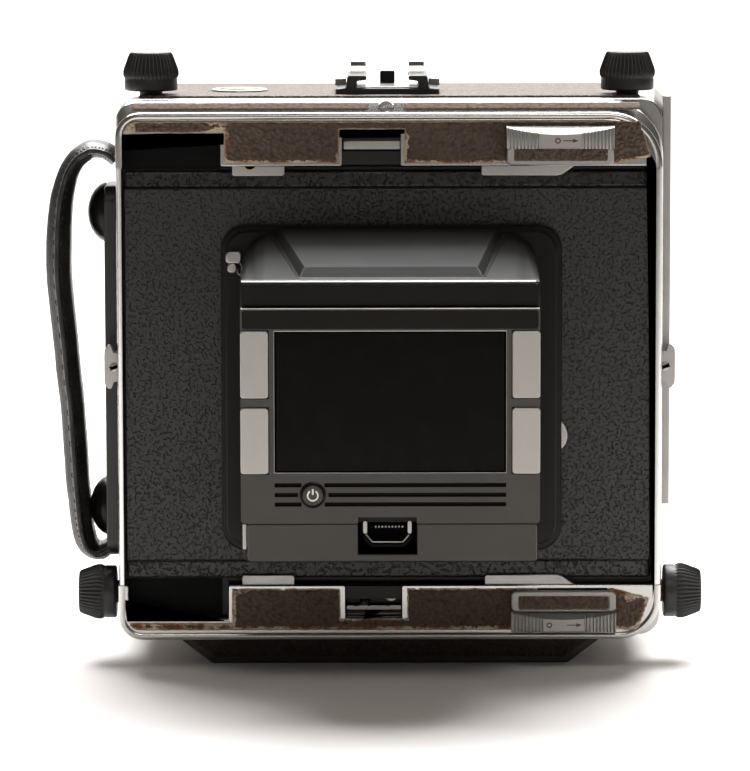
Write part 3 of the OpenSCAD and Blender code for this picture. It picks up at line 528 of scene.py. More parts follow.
def patch(name, inside, x, z, place, body, material, step=0.5, thick=0.42, ragged=0.16, worn=None,
          scars=()):
    """Thin hide cut to a shape. inside(x, z) is the distance in from its edge, place(x, z, h) a position."""
    def reach(px, pz):
        wave = (noise.noise(Vector((px * 0.55, pz * 0.55, 3.7)))
                + 0.5 * noise.noise(Vector((px * 1.7, pz * 1.7, 9.1))))
        return inside(px, pz) + ragged * wave

    nx, nz = int((x[1] - x[0]) / step) + 1, int((z[1] - z[0]) / step) + 1
    points, depth = {}, {}
    for i in range(nx + 1):
        for k in range(nz + 1):
            px, pz = x[0] + i * step, z[0] + k * step
            d = reach(px, pz)
            if d < -step:
                continue
            for _ in range(2):
                if abs(d) < 0.55 * step:
                    gx = (reach(px + 0.05, pz) - reach(px - 0.05, pz)) / 0.1
                    gz = (reach(px, pz + 0.05) - reach(px, pz - 0.05)) / 0.1
                    size = math.hypot(gx, gz) or 1.0
                    px, pz = px - d * gx / size, pz - d * gz / size
                    d = reach(px, pz)
            points[i, k], depth[i, k] = (px, pz), 0.0 if abs(d) < 0.12 * step else d
    bm = bmesh.new()
    edge = bm.verts.layers.float.new("edge_mm")
    wear = bm.verts.layers.float.new("worn")
    kept = [(i, k) for i in range(nx) for k in range(nz)
            if all(depth.get(c, -1) >= 0 for c in ((i, k), (i + 1, k), (i + 1, k + 1), (i, k + 1)))]
    on_rim = {}
    for i, k in kept:
        for c in ((i, k), (i + 1, k), (i + 1, k + 1), (i, k + 1)):
            on_rim[c] = on_rim.get(c, 0) + 1
    top, low = {}, {}
    for c, count in on_rim.items():
        px, pz = points[c]
        d = depth[c] if count == 4 else 0.0
        rise = thick * math.sqrt(max(1 - (1 - min(d / (1.3 * thick), 1)) ** 2, 0))
        top[c] = bm.verts.new(place(px, pz, max(rise, 0.35 * thick) if count == 4 else 0.3 * thick))
        low[c] = bm.verts.new(place(px, pz, -0.02))
        bare = min([math.hypot(px - sx, pz - sz) - r for sx, sz, r in scars] + [5.0])
        for v in (top[c], low[c]):
            v[edge] = max(min(d, bare), 0.0)
            v[wear] = worn(px, pz) if worn else 0.3
    for i, k in kept:
        c = ((i, k), (i + 1, k), (i + 1, k + 1), (i, k + 1))
        bm.faces.new([top[q] for q in c])
        bm.faces.new([low[q] for q in reversed(c)])
    bmesh.ops.bridge_loops(bm, edges=[e for e in bm.edges if e.is_boundary])
    obj = made(name, bm, material, body, 70)
    return obj


def refined(node, material, width=0.3, segments=2, second=None, where=None, name=None):
    """A CAD part, its edges rounded where width allows, standing for the plain solid.

    where(x, y, z, normal) picks the faces that take the second finish."""
    mesh = frame["nodes"][node].data.copy()
    bm = bmesh.new()
    bm.from_mesh(mesh)
    bmesh.ops.scale(bm, vec=(1 / MM,) * 3, verts=bm.verts)
    bmesh.ops.remove_doubles(bm, verts=bm.verts, dist=0.001)
    if width:
        bmesh.ops.dissolve_limit(bm, angle_limit=math.radians(0.6), verts=bm.verts, edges=bm.edges)
        weigh_edges(bm, width)
    bmesh.ops.scale(bm, vec=(MM,) * 3, verts=bm.verts)
    bm.to_mesh(mesh)
    bm.free()
    obj = placed(name or node + "_form", mesh, material, BODY_OF[node], 35 if width else 10)
    if width:
        rounded(obj, width, segments)
    if second:
        obj.data.materials.append(second)
        for polygon in obj.data.polygons:
            if where(*(c / MM for c in polygon.center), polygon.normal):
                polygon.material_index = 1
    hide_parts(node)
    return obj


# ---------------------------------------------------------------- camera, light, floor
def add_camera():
    """The photograph's view: a long lens, square behind the camera and a little above it."""
    data = bpy.data.cameras.new("camera")
    data.sensor_fit = "AUTO"
    data.sensor_width = 36
    data.lens = 231.3
    data.clip_start, data.clip_end = 0.05, 40
    obj = bpy.data.objects.new("camera", data)
    bpy.context.scene.collection.objects.link(obj)
    pitch, yaw, roll = math.radians(6.956), math.radians(0.023), math.radians(-0.109)
    turn = (Matrix.Rotation(yaw, 4, "Z") @ Matrix.Rotation(math.pi / 2 - pitch, 4, "X")
            @ Matrix.Rotation(roll, 4, "Z"))
    obj.matrix_world = Matrix.Translation((-0.00376, -1.4857, 0.2611)) @ turn
    bpy.context.scene.camera = obj


def area_light(name, place, target, size, power, color=(1, 1, 1), spread=180):
    data = bpy.data.lights.new(name, "AREA")
    data.shape, data.size, data.size_y = "RECTANGLE", size[0], size[1]
    data.energy, data.color, data.spread = power, color, math.radians(spread)
    obj = bpy.data.objects.new(name, data)
    bpy.context.scene.collection.objects.link(obj)
    aim = (Vector(target) - Vector(place)).to_track_quat("-Z", "Y")
    obj.matrix_world = Matrix.Translation(place) @ aim.to_matrix().to_4x4()


def add_studio():
    """White sweep, a soft box above it, a wash on the backdrop, a weak fill from the viewer, a dim room."""
    bm = bmesh.new()
    profile = [(-3200, 0), (1900, 0)]
    profile += [(1900 + 900 * math.sin(math.radians(a)), 900 - 900 * math.cos(math.radians(a)))
                for a in range(6, 91, 6)]
    profile += [(2800, 2400)]
    rows = [[bm.verts.new((x, y, z)) for x in (-3200, 3200)] for y, z in profile]
    for a, b in zip(rows, rows[1:]):
        bm.faces.new((a[0], a[1], b[1], b[0]))
    floor = made("sweep", bm, pale_floor("pale_floor"), None)
    world = bpy.data.worlds.new("studio")
    world.use_nodes = True
    world.node_tree.nodes["Background"].inputs["Color"].default_value = (1.0, 0.91, 0.83, 1)
    world.node_tree.nodes["Background"].inputs["Strength"].default_value = 0.125
    bpy.context.scene.world = world
    bpy.context.scene.view_settings.view_transform = "Standard"
    area_light("top_box", (0.05, 0.62, 1.15), (0, 0.0, 0.02), (1.5, 0.9), 22, spread=115)
    area_light("backdrop_wash", (0.0, 1.3, 2.2), (0, 2.6, 0.3), (2.6, 0.8), 110)
    area_light("front_fill", (0.3, -1.7, 1.5), (0, 0, 0.08), (0.8, 0.5), 0.9, (1.0, 0.93, 0.86), spread=60)

HIDE = leather("tan_hide", (0.088, 0.057, 0.038), (0.108, 0.072, 0.049), (0.030, 0.018, 0.011), 0.95)
# a lighter copy of the hide for the slope strips that face up to the soft box: painted light
LIT_SLOPE_HIDE = leather("slope_hide_painted_light", (0.15, 0.10, 0.07), (0.18, 0.125, 0.09), (0.06, 0.035, 0.022), 0.95,
                     rough=(0.6, 0.8), depth=0.10)
# a much darker copy of the hide for the foot under the body: painted shade
SHADED_HIDE = leather("hide_painted_shade", (0.020, 0.012, 0.008), (0.028, 0.018, 0.012), (0.006, 0.004, 0.003), 0.9)
GLUE = paint("aged_glue", (0.42, 0.34, 0.20), (0.5, 0.7), speckle=0.4, depth=0.08)


# ---------------------------------------------------------------- the back
BACK_REAR = -46.0
ROOF_SLOPE = Vector((0, 3.4, 3.2)).normalized()


def half_plane(x, z, x0, z0, x1, z1):
    """Distance to the left of the line from point 0 to point 1."""
    length = math.hypot(x1 - x0, z1 - z0)
    return ((x1 - x0) * (z - z0) - (z1 - z0) * (x - x0)) / length


def on_back(x, z, h):
    return (x, BACK_REAR - h, z)


def top_strip(x, z):
    return min(inside_rect(x, z, -77.4, 77.2, 150.6, 162.9, 3.3), -inside_rect(x, z, -90, -48.2, 140, 159.5),
               -inside_rect(x, z, -14.6, 4.3, 140, 160.5), -inside_rect(x, z, 43.1, 64.3, 140, 154.9),
               half_plane(x, z, 65.5, 150.3, 76.1, 152.3), half_plane(x, z, 76.4, 152.0, 72.9, 163.5))


def bottom_strip(x, z):
    return min(inside_rect(x, z, -77, 77, 12.9, 25.3, 3.0), -inside_rect(x, z, -90, -46.5, 15.2, 40),
               -inside_rect(x, z, -14.6, 5.0, 16.3, 40), -inside_rect(x, z, 43.1, 64.3, 21.4, 40),
               half_plane(x, z, 76.3, 22.4, 66, 25.2), half_plane(x, z, 72.9, 12.4, 76.4, 22.6))


def make_back_leather():
    body, slot = "revolving_back", "leather"

    def worn_top(x, z):
        return max(0.25 + 0.5 * smoothstep(156, 151, z), smoothstep(9, 2, math.hypot(x + 50, z - 158)),
                   smoothstep(7, 2, abs(x - 5)) * smoothstep(161.5, 159, z))

    def worn_bottom(x, z):
        return max(0.3 + 0.6 * smoothstep(17, 13.5, z), smoothstep(8, 2, abs(x + 46)),
                   smoothstep(9, 3, abs(x - 70)))

    first = patch("back_leather_top", top_strip, (-78.5, 78.5), (149, 164), on_back, body, TAN,
                  worn=worn_top, scars=[(-75.4, 160.9, 1.2), (-49.5, 159.6, 0.9)])
    patch("back_leather_bottom", bottom_strip, (-78.5, 78.5), (11.5, 27), on_back, body, TAN,
          worn=worn_bottom, scars=[(-3, 12.9, 0.5), (38, 12.6, 0.8), (71, 23.6, 0.8)])
    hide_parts("back_leather")

    def on_slope(x, s, h):
        out = Vector((0, -ROOF_SLOPE.z, ROOF_SLOPE.y))
        return Vector((x, -44.4, 165.4)) + ROOF_SLOPE * s + out * h

    # the slope strips take the lighter hide: painted light on faces turned up to the soft box
    for name, x0, x1 in (("slope_leather_left", -75, -6.3), ("slope_leather_right", 4.3, 73.2)):
        patch(name, lambda x, s: inside_rect(x, s, x0, x1, 0.85, 3.85, 0.7), (x0 - 1, x1 + 1), (0.4, 4.3),
              on_slope,
              body, LIT_SLOPE_HIDE, step=0.4, thick=0.3, ragged=0.1)
    slope = Matrix.Translation(on_slope(-1, 2.3, -0.25)) @ Matrix.Rotation(math.radians(46.7), 4, "X")
    Form().slotted_screw(2.3, 0.55, slope, 0.32).piece("slope_screw", CHROME, body, "chrome", width=0.08)


def make_revolving_back():
    def inner(x, y, z, normal):
        return y > -45.3 and -78.4 < x < 77.6 and 16 < z < 159.9 and not (abs(normal.y) > 0.9 and y > -40)

    refined("revolving_back", CHROME, 0.9, 3, SMOOTH_BLACK, inner)
    form = Form()
    # chipped silver catch plates in the middle notches, in a pale paint that stands for the light they catch:
    # painted light
    for z0, z1, x0, x1 in ((154.9, 158.7, -13.3, 3.0), (16.6, 20.2, -12.8, 3.2)):
        near, deep = (-45.5, -42.4) if z0 > 100 else (-42.4, -45.5)
        steps = 22
        top = []
        for i in range(steps + 1):
            x = x0 + (x1 - x0) * i / steps
            chip = 0.45 * max(noise.noise(Vector((x * 0.9, z0, 2.2))), 0)
            top.append((x, z1 - chip))
        form.rings([[(x, near, z0), (x, deep, zt), (x, deep + 0.45, zt - 0.3), (x, near + 0.45, z0 - 0.3)]
                    for x, zt in top])
    form.piece("notch_plates", LIT_PALE, "revolving_back", "chrome", width=0.12)
    bead = Form()
    for edge, up, far in ((164.3, 1, 14.5), (11.1, -1, 11.5)):
        path = [(-78.8, edge - 15 * up)]
        path += [(-72.8 + x, edge - 6 * up + z * up) for x, z in circle_points(6, 8, 180, 90)]
        path += [(78.5 - far + x, edge - far * up + z * up) for x, z in circle_points(far, 12, 90, 0)]
        path.append((78.5, edge - 15 * up))
        bead.tube([(x, -45.2, z) for x, z in path], 1.15, 16)
    bead.piece("rim_beads", CHROME, "revolving_back", "chrome", 60)
    # black panels over a shading fault that the rounding leaves in the left notches
    floors = Form()
    for z0, z1 in ((148.7, 158.2), (16.6, 27.6)):
        floors.box((-78.1, -49.5), (-41.35, -41.0), (z0, z1))
    floors.piece("notch_floors", PIT, "revolving_back", "chrome", width=0.1)
    pins = Form()
    pins.lathe([(1.0, 0), (1.0, 0.6), (0.7, 0.9)], 20, at("rear", -7.6, -43.5, 20.9))
    pins.slotted_screw(2.0, 0.8, at("rear", 0.4, -41.9, 22.6, 25), 0.3)
    pins.tube([(-7.8, -42.6, 153.8), (-7.8, -42.8, 151.0)], 0.55)
    pins.piece("notch_pins", STEEL, "revolving_back", "steel", width=0.08)


def slide_lock(name, ribs, frame_z, frame_side, claws, bar_z, stem_z, x):
    """Scooped thumb piece with milled ends and a leather inlay, and the claw bar behind the slot."""
    body, slot = name, "chrome"
    low, high = ribs
    middle, half = (x[0] + x[1]) / 2, (x[1] - x[0]) / 2
    rib_pitch, ribbed = 1.02, 9.4
    form = Form()
    rings = []
    count = int((x[1] - x[0]) / (rib_pitch / 8))
    for i in range(count + 1):
        px = x[0] + (x[1] - x[0]) * i / count
        reach = min(px - x[0], x[1] - px)
        groove = 0.0
        if 0.35 < reach < ribbed:
            groove = 0.42 * (0.5 - 0.5 * math.cos(2 * math.pi * (reach - 0.35) / rib_pitch)) ** 0.8
        front = -50.4 + groove + (0.5 if reach < 0.05 else 0)
        dip = 2.0 * (1 - ((px - middle) / half) ** 2)
        top = high - 0.25 - dip
        rings.append([(px, -46.75, low), (px, front + 0.35, low), (px, front, low + 0.35),
                      (px, front, top - 0.2),
                      (px, front + 0.3, top + 0.05), (px, -48.6, high - 0.12 - 0.45 * dip),
                      (px, -46.75, high)])
    form.rings(rings)
    z0, z1 = frame_z
    low_rim, high_rim = (1.2, 0.15) if frame_side < 0 else (0.5, 1.3)
    inner = (x[0] + 2.1, x[1] - 1.9, z0 + low_rim, z1 - high_rim)
    outer = round_rect(x[0] + 0.15, x[1] - 0.15, z0, z1, 1.3)
    trim = round_rect(x[0] + 0.45, x[1] - 0.45, z0 + 0.3, z1 - 0.3, 1.1)
    hole = round_rect(*inner, 0.7)
    form.rings([level(outer, -46.75), level(outer, -48.65), level(trim, -48.95), level(hole, -48.95),
                level(hole, -48.35)])
    form.box((44.3, 55.1), (-47.2, -44.3), (stem_z[0] + 0.3, stem_z[1] - 0.2))
    obj = form.piece(name + "_thumb", THUMB, body, slot, 40, replaces=(name,))
    patch(name + "_inlay", lambda px, pz: inside_rect(px, pz, *inner, 0.7) + 0.05,
          (inner[0] - 1, inner[1] + 1), (inner[2] - 1, inner[3] + 1),
          lambda px, pz, h: (px, -48.35 - h, pz), body, TAN, step=0.4, thick=0.35, ragged=0.08,
          worn=lambda px, pz: 0.2)
    bar = Form()
    bar.box((claws[0][0], claws[1][1] - 2), (-44.9, -43.4), bar_z)
    bar.piece(name + "_bar", SMOOTH_BLACK, body, slot, width=0.2)
    return obj


def claw_shapes(name, z_bar, z_tip, left, right, material, notch):
    """The two claws that hold the board; the right one has a slanted end."""
    form = Form()
    grow = 1 if z_tip > z_bar else -1
    outline = [(left[0], z_bar)]
    if notch:
        cx = left[0] + 5.2
        outline += [(cx + 1.7 * math.cos(a), z_bar + grow * 1.5 * abs(math.sin(a)))
                    for a in [math.pi * (1 - i / 10) for i in range(11)]]
    outline += [(left[1], z_bar), (left[1], z_tip - grow * 0.5), (left[1] - 0.5, z_tip),
                (left[0] + 0.4, z_tip),
                (left[0], z_tip - grow * 0.4)]
    form.rings([level(outline, y) for y in (-44.9, -43.4)])
    outline = [(right[0], z_bar), (right[1], z_bar), (right[1] - 1.4, z_bar + grow * 0.9),
               (right[1] - 4.4, z_tip - grow * 0.35), (right[1] - 5.6, z_tip), (right[0] + 0.4, z_tip),
               (right[0], z_tip - grow * 0.4)]
    form.rings([level(outline, y) for y in (-44.9, -43.4)])
    form.piece(name + "_claws", material, name, "chrome", width=0.28)
    if notch:
        ring = Form()
        arc = [math.pi * (1 - i / 12) for i in range(13)]
        rings = []
        for i, a in enumerate(arc):
            w = 0.45 + 0.2 * noise.noise(Vector((i * 0.7, z_bar, 1)))
            c, s = math.cos(a), grow * abs(math.sin(a))
            rings.append([(cx + 1.65 * c, -44.95, z_bar + 1.45 * s),
                          (cx + (1.7 + w) * c, -44.98, z_bar + (1.5 + w) * s),
                          (cx + (1.7 + w) * c, -44.85, z_bar + (1.5 + w) * s),
                          (cx + 1.65 * c, -44.85, z_bar + 1.45 * s)])
        ring.rings(rings)
        ring.piece(name + "_glue", GLUE, name, "leather")


def label_mark(name, body, ring_x, arrow_x, z):
    """Dark red ring and arrow standing a tenth of a millimetre proud of the thumb piece."""
    form = Form()
    y0, y1 = -50.36, -50.46
    steps = 24
    rings = []
    for i in range(steps):
        a = 2 * math.pi * i / steps
        c, s = math.cos(a), math.sin(a)
        rings.append([(ring_x + r * c, y, z + r * s)
                      for r, y in ((0.5, y0), (0.85, y0), (0.85, y1), (0.5, y1))])
    form.rings(rings + [rings[0]], caps=False)
    bmesh.ops.remove_doubles(form.bm, verts=form.bm.verts, dist=0.001)
    x0, x1 = arrow_x
    arrow = [(x0, z - 0.14), (x1 - 1.7, z - 0.14), (x1 - 1.9, z - 0.6), (x1, z), (x1 - 1.9, z + 0.6),
             (x1 - 1.7, z + 0.14), (x0, z + 0.14)]
    form.rings([level(arrow, y) for y in (y0, y1)])
    form.piece(name, RED, body, "chrome")


def make_slide_locks():
    slide_lock("top_slide_lock", (155, 161.6), (150.2, 155.4), -1, ((-45.9, -30.6), (26.8, 54.7)),
               (150.1, 154.1), (151.4, 154.0), (34, 65.4))
    claw_shapes("top_slide_lock", 150.2, 146.9, (-45.9, -30.6), (26.8, 54.7), SATIN, True)
    label_mark("top_slide_lock_mark", "top_slide_lock", 48.9, (50.5, 55.0), 157.4)
    slide_lock("bottom_slide_lock", (12.8, 19), (18.7, 24.8), 1, ((-43.5, -28.2), (27.9, 55)),
               (22, 25.9), (22.2, 24.6), (35.5, 66.4))
    claw_shapes("bottom_slide_lock", 25.8, 29.1, (-43.5, -28.2), (27.9, 55), STEEL, False)
    label_mark("bottom_slide_lock_mark", "bottom_slide_lock", 46.7, (51.9, 56.4), 15.0)


# ---------------------------------------------------------------- the digital back
def make_adapter():
    body = "revolving_back"
    refined("adapter_board", WRINKLE, 0.9, 3)
    # mount frame with a stepped rim and the pocket of its release lever
    form = Form()
    steps = ((-49.2, 50.3, 37.2, 132.6, 7, -45.6), (-49.2, 50.3, 37.2, 132.6, 7, -48.3),
             (-48.8, 49.9, 37.6, 132.2, 6.8, -48.8), (-47.9, 48.7, 38.9, 131.2, 6.2, -48.9),
             (-47.8, 48.6, 39.0, 131.0, 6, -50.2), (-47.5, 48.3, 39.3, 130.7, 5.8, -50.5))
    form.rings([level(round_rect(x0, x1, z0, z1, r, 10), y) for x0, x1, z0, z1, r, y in steps])
    obj = form.piece("adapter_mount_frame", GLOSS_BAND, body, "mount_black", 30, replaces=("adapter_mount",))
    hollowed(obj, ((-26, 26), (-51, -45), (66, 110)), ((39.5, 52), (-48.4, -46.3), (63, 84)))
    # silver latch, simplified to two blocks, with its wire hook
    latch = Form()
    for z0, z1, x0, x1 in ((122.0, 125.6, -47.7, -43.0), (119.3, 122.2, -47.2, -44.4)):
        outline = round_rect(x0, x1, z0, z1, 1.2)
        latch.rings([level(outline, -50.2), level(outline, -52.9),
                     [((px - (x0 + x1) / 2) * 0.9 + (x0 + x1) / 2, -53.4,
                       (pz - (z0 + z1) / 2) * 0.85 + (z0 + z1) / 2)
                      for px, pz in outline]])
    latch.piece("mount_latch", SATIN, body, "steel", 50, width=0.25)
    hook = Form()
    hook.tube([(-43.6, -51.6, 122.3), (-42.9, -51.9, 121.0), (-43.1, -52.0, 119.2), (-43.8, -52.0, 118.7),
               (-44.3, -51.9, 119.4), (-44.0, -51.7, 120.6)], 0.28)
    hook.tube([(-43.2, -51.6, 118.6), (-42.9, -51.2, 115), (-42.7, -50.9, 110), (-42.6, -50.8, 107.5)], 0.22)
    hook.piece("mount_hook", STEEL, body, "steel")
    return obj


def make_roof():
    """Body of the digital back: a faceted roof with a raised middle between two slanted grooves, drawn as
    dark strips of painted shade.
    """
    body, half = "revolving_back", 42.4
    form = Form()
    side = [(-50.5, 42), (-50.5, 130.4), (-52.5, 130.4), (-91.2, 121.4), (-93.3, 120.6), (-93.3, 113.5),
            (-93, 113.4),
            (-93, 52), (-62, 52), (-62, 42)]
    corner = 6.0
    rings = []
    for x, drop in ((-half, corner), (-half + 1.6, 3.0), (-half + 4.5, 0.8), (-half + 7, 0.0),
                    (half - 7, 0.0),
                    (half - 4.5, 0.8), (half - 1.6, 3.0), (half, corner)):
        fade = [(y, z - drop * smoothstep(-93, -56, y) if z > 121.8 else z) for y, z in side]
        rings.append([(x, y, z) for y, z in fade])
    form.rings(rings)
    # the roof and its raised middle take the darkened paint: painted shade on the upward faces
    obj = form.piece("digital_back_body", ROOF, body, "charcoal", 14, width=0.35,
                     replaces=("digital_back_housing",))
    hollowed(obj, ((-22, 22), (-58.5, -50.4), (71, 105)))
    # raised middle
    def roof_z(y):
        return 130.4 + (121.4 - 130.4) * (-52.5 - y) / (-52.5 + 91.2)
    panel = Form()
    back, lip, front = -52.3, -86.8, -90.3
    top_back, top_lip = 132.1, 124.3
    low = [(-34.2, back, roof_z(back) - 0.6), (33.4, back, roof_z(back) - 0.6),
           (26.6, front, roof_z(front) - 0.25),
           (-26.0, front, roof_z(front) - 0.25)]
    high = [(-31.8, back, top_back), (30.9, back, top_back), (24.8, lip, top_lip), (-24.2, lip, top_lip)]
    panel.solid(low + high, [(3, 2, 1, 0), (4, 5, 6, 7), (0, 1, 5, 4), (1, 2, 6, 5), (2, 3, 7, 6),
                             (3, 0, 4, 7)])
    panel.piece("roof_panel", ROOF, body, "charcoal", 12, width=0.3)
    # dark strips laid on the roof stand for the two slanted grooves: painted shade in their hollows
    grooves = Form()
    for s, x_back, x_front in ((-1, -34.9, -26.5), (1, 34.1, 27.2)):
        wide = 2.9
        a, b = (x_back, -53.4), (x_front, front + 0.6)
        pts = [(a[0], a[1]), (a[0] - s * wide, a[1]), (b[0] - s * 1.3, b[1]), (b[0], b[1])]
        grooves.rings([[(x, y, roof_z(y) + dz) for x, y in pts] for dz in (-0.3, 0.12)])
    grooves.piece("roof_groove_shade_strips", GLOSS_BAND, body, "charcoal", width=0.05)
    # black front band under the roof, with steel lines above and below it that stand for the highlights on
    # its edges: painted highlights
    band = Form()
    band.box((-41.9, 41.9), (-93.75, -93.2), (113.9, 120.2))
    band.piece("front_band", GLOSS_BAND, body, "charcoal", width=0.2)
    # thin steel tubes along the band's edges: painted highlights
    line = Form()
    for z, y, x0, x1 in ((120.75, -93.4, -42.0, 41.2), (113.35, -95.8, -42.2, 42.2)):
        line.tube([(x0, y, z), (x1, y, z)], 0.24, 8)
    line.piece("edge_highlight_lines", STEEL, body, "steel")


def make_cover():
    body = "revolving_back"
    refined("digital_back_cover", CHARCOAL, 0, 0, PIT,
            lambda x, y, z, n: y > -95.95 and abs(x) < 33 and 56 < z < 64.3)
    # black strip across the top of the cover, where the charcoal housing looks dark from the reflection:
    # painted reflection
    strip = Form()
    strip.rings([level(round_rect(-41.9, 41.9, 107.6, 112.9, 0.8), y) for y in (-95.9, -96.06)])
    strip.piece("cover_strip_painted_reflection", GLOSS_BAND, body, "charcoal", width=0.05)
    glass_pane = Form()
    outline = round_rect(-32.7, 32.7, 66.7, 106.9, 0.5)
    trim = round_rect(-32.2, 32.2, 67.2, 106.4, 0.4)
    glass_pane.rings([level(outline, -93.1), level(outline, -95.4), level(trim, -95.7)])
    glass_pane.piece("display_pane", SCREEN, body, "display", 15, replaces=("lcd_glass",))
    # thin silver lines round the display glass stand for the highlights on its edges: painted highlights
    frame_line = Form()
    frame_line.tube([(-32.8, -95.95, 107.05), (32.8, -95.95, 107.05)], 0.16, 6)
    frame_line.tube([(-32.85, -95.95, 66.6), (32.85, -95.95, 66.6)], 0.1, 6)
    for x in (-32.9, 32.9):
        frame_line.tube([(x, -95.95, 66.6), (x, -95.95, 107.0)], 0.09, 6)
    frame_line.piece("display_edge_highlights", SATIN, body, "steel")


def make_keys():
    for node in ("button_top_left", "button_top_right", "button_bottom_left", "button_bottom_right"):
        low, high = node_mm(node)
        form = Form()
        outline = round_rect(low[0], high[0], low[2], high[2], 0.9)
        form.rings([level(outline, y) for y in (high[1], low[1])])
        form.piece(node + "_cap", KEY, node, "keys", 30, width=0.3, segments=3, replaces=(node,))
    low, high = node_mm("power_button")
    x, z = (low[0] + high[0]) / 2, (low[2] + high[2]) / 2
    button = Form()
    button.lathe([(2.9, 0), (2.9, 3.0), (2.65, 3.25), (2.3, 3.3), (2.2, 3.2), (0.0001, 3.15)], 40,
                 at("rear", x, high[1], z))
    button.piece("power_button_cap", CHARCOAL, "power_button", "charcoal", 40, replaces=("power_button",))
    symbol = Form()
    arc = [(1.45 * math.sin(math.radians(a)), 1.45 * math.cos(math.radians(a))) for a in range(32, 329, 8)]
    face = high[1] - 3.2
    symbol.tube([(x + px, face, z + pz) for px, pz in arc], 0.24, 8)
    symbol.tube([(x, face, z + 0.25), (x, face, z + 1.9)], 0.26, 8)
    symbol.piece("power_symbol", WHITE, "power_button", "keys")
    ring = Form()
    rim = [(3.12, 0.0), (3.12, 0.25), (3.3, 0.3), (3.75, 0.12), (3.8, 0.0)]
    rings = []
    for i in range(48):
        a = 2 * math.pi * i / 48
        rings.append([(x + r * math.cos(a), -96.0 - h + 0.02, z + r * math.sin(a)) for r, h in rim])
    ring.rings(rings + [rings[0]], caps=False)
    bmesh.ops.remove_doubles(ring.bm, verts=ring.bm.verts, dist=0.001)
    ring.piece("power_ring", GLOSS_BAND, "revolving_back", "charcoal")


def make_battery():
    body = "revolving_back"
    refined("battery_block", CHARCOAL, 0.5, 3, PIT,
            lambda x, y, z, n: y > -95.2 and -9.3 < x < 7.6 and 43.1 < z < 54)
    refined("battery_clip", SATIN, 0.25)
    socket = Form()
    shell = [(-7.6, 51.2), (-7.6, 46.8), (-5.4, 44.9), (3.7, 44.9), (5.9, 46.8), (5.9, 51.2)]
    core = [(-6.7, 51.2), (-6.7, 47.1), (-5.0, 45.7), (3.3, 45.7), (5.0, 47.1), (5.0, 51.2)]
    socket.rings([[(x, y, z) for x, z in ring]
                  for ring, y in ((shell, -84.2), (shell, -93), (core, -93), (core, -86))])
    socket.piece("connector_shell", PIT, body, "charcoal", width=0.1, replaces=("connector",))
    trim = Form()
    for x in (-7.2, 5.45):
        trim.rings([[(x + px, y, pz) for px, pz in round_rect(-0.55, 0.55, 48.9, 52.4, 0.5)]
                    for y in (-92.8, -93.7)])
    trim.tube([(-7.0, -93.3, 48.7), (-5.2, -93.3, 46.5), (-4.8, -93.3, 46.4), (3.2, -93.3, 46.4),
               (3.6, -93.3, 46.5),
               (5.2, -93.3, 48.4)], 0.2, 8)
    pin_row = Form()
    for i in range(9):
        pin_row.box((-4.4 + i * 0.95, -4.0 + i * 0.95), (-91.5, -86.5), (50.3, 50.7))
    trim.piece("connector_trim", SATIN, body, "steel", 40)
    pin_row.piece("connector_pins", STEEL, body, "steel")


# ---------------------------------------------------------------- knobs, shoe, button
def make_knob(node, side):
    low, high = node_mm(node)
    if side == "up":
        base = at("up", (low[0] + high[0]) / 2, (low[1] + high[1]) / 2, 169.3)
    else:
        base = at(side, -80.5 if side == "left" else 80.5, (low[1] + high[1]) / 2, (low[2] + high[2]) / 2)
    ribs, steps = 42, 42 * 6
    profile = [(3.4, -0.2), (3.4, 1.2), (7.3, 1.2), (7.75, 1.45), (7.85, 1.9), (7.85, 4.3), (7.7, 4.7),
               (8.0, 5.2),
               (8.22, 5.8), (8.22, 6.9), (7.9, 8.0), (7.3, 9.6), (6.8, 11.0), (6.35, 12.0), (5.9, 12.4),
               (5.0, 12.2), (3.6, 11.5), (1.6, 11.1), (0.3, 11.0)]
    depth = [0] * 7 + [0.25, 0.42, 0.42, 0.42, 0.4, 0.38, 0.34, 0.3, 0.28, 0.22, 0.1, 0]

    def ripple(k, i):
        return -depth[i] * abs(math.sin(math.pi * ribs * k / steps)) ** 0.6 if depth[i] else 0

    form = Form()
    form.lathe(profile, steps, base, ripple)
    form.lathe([(2.2, -3.0), (2.2, 0)], 24, base)
    form.piece(node + "_grip", KNOB, node, "knob_black", 50, replaces=(node,))


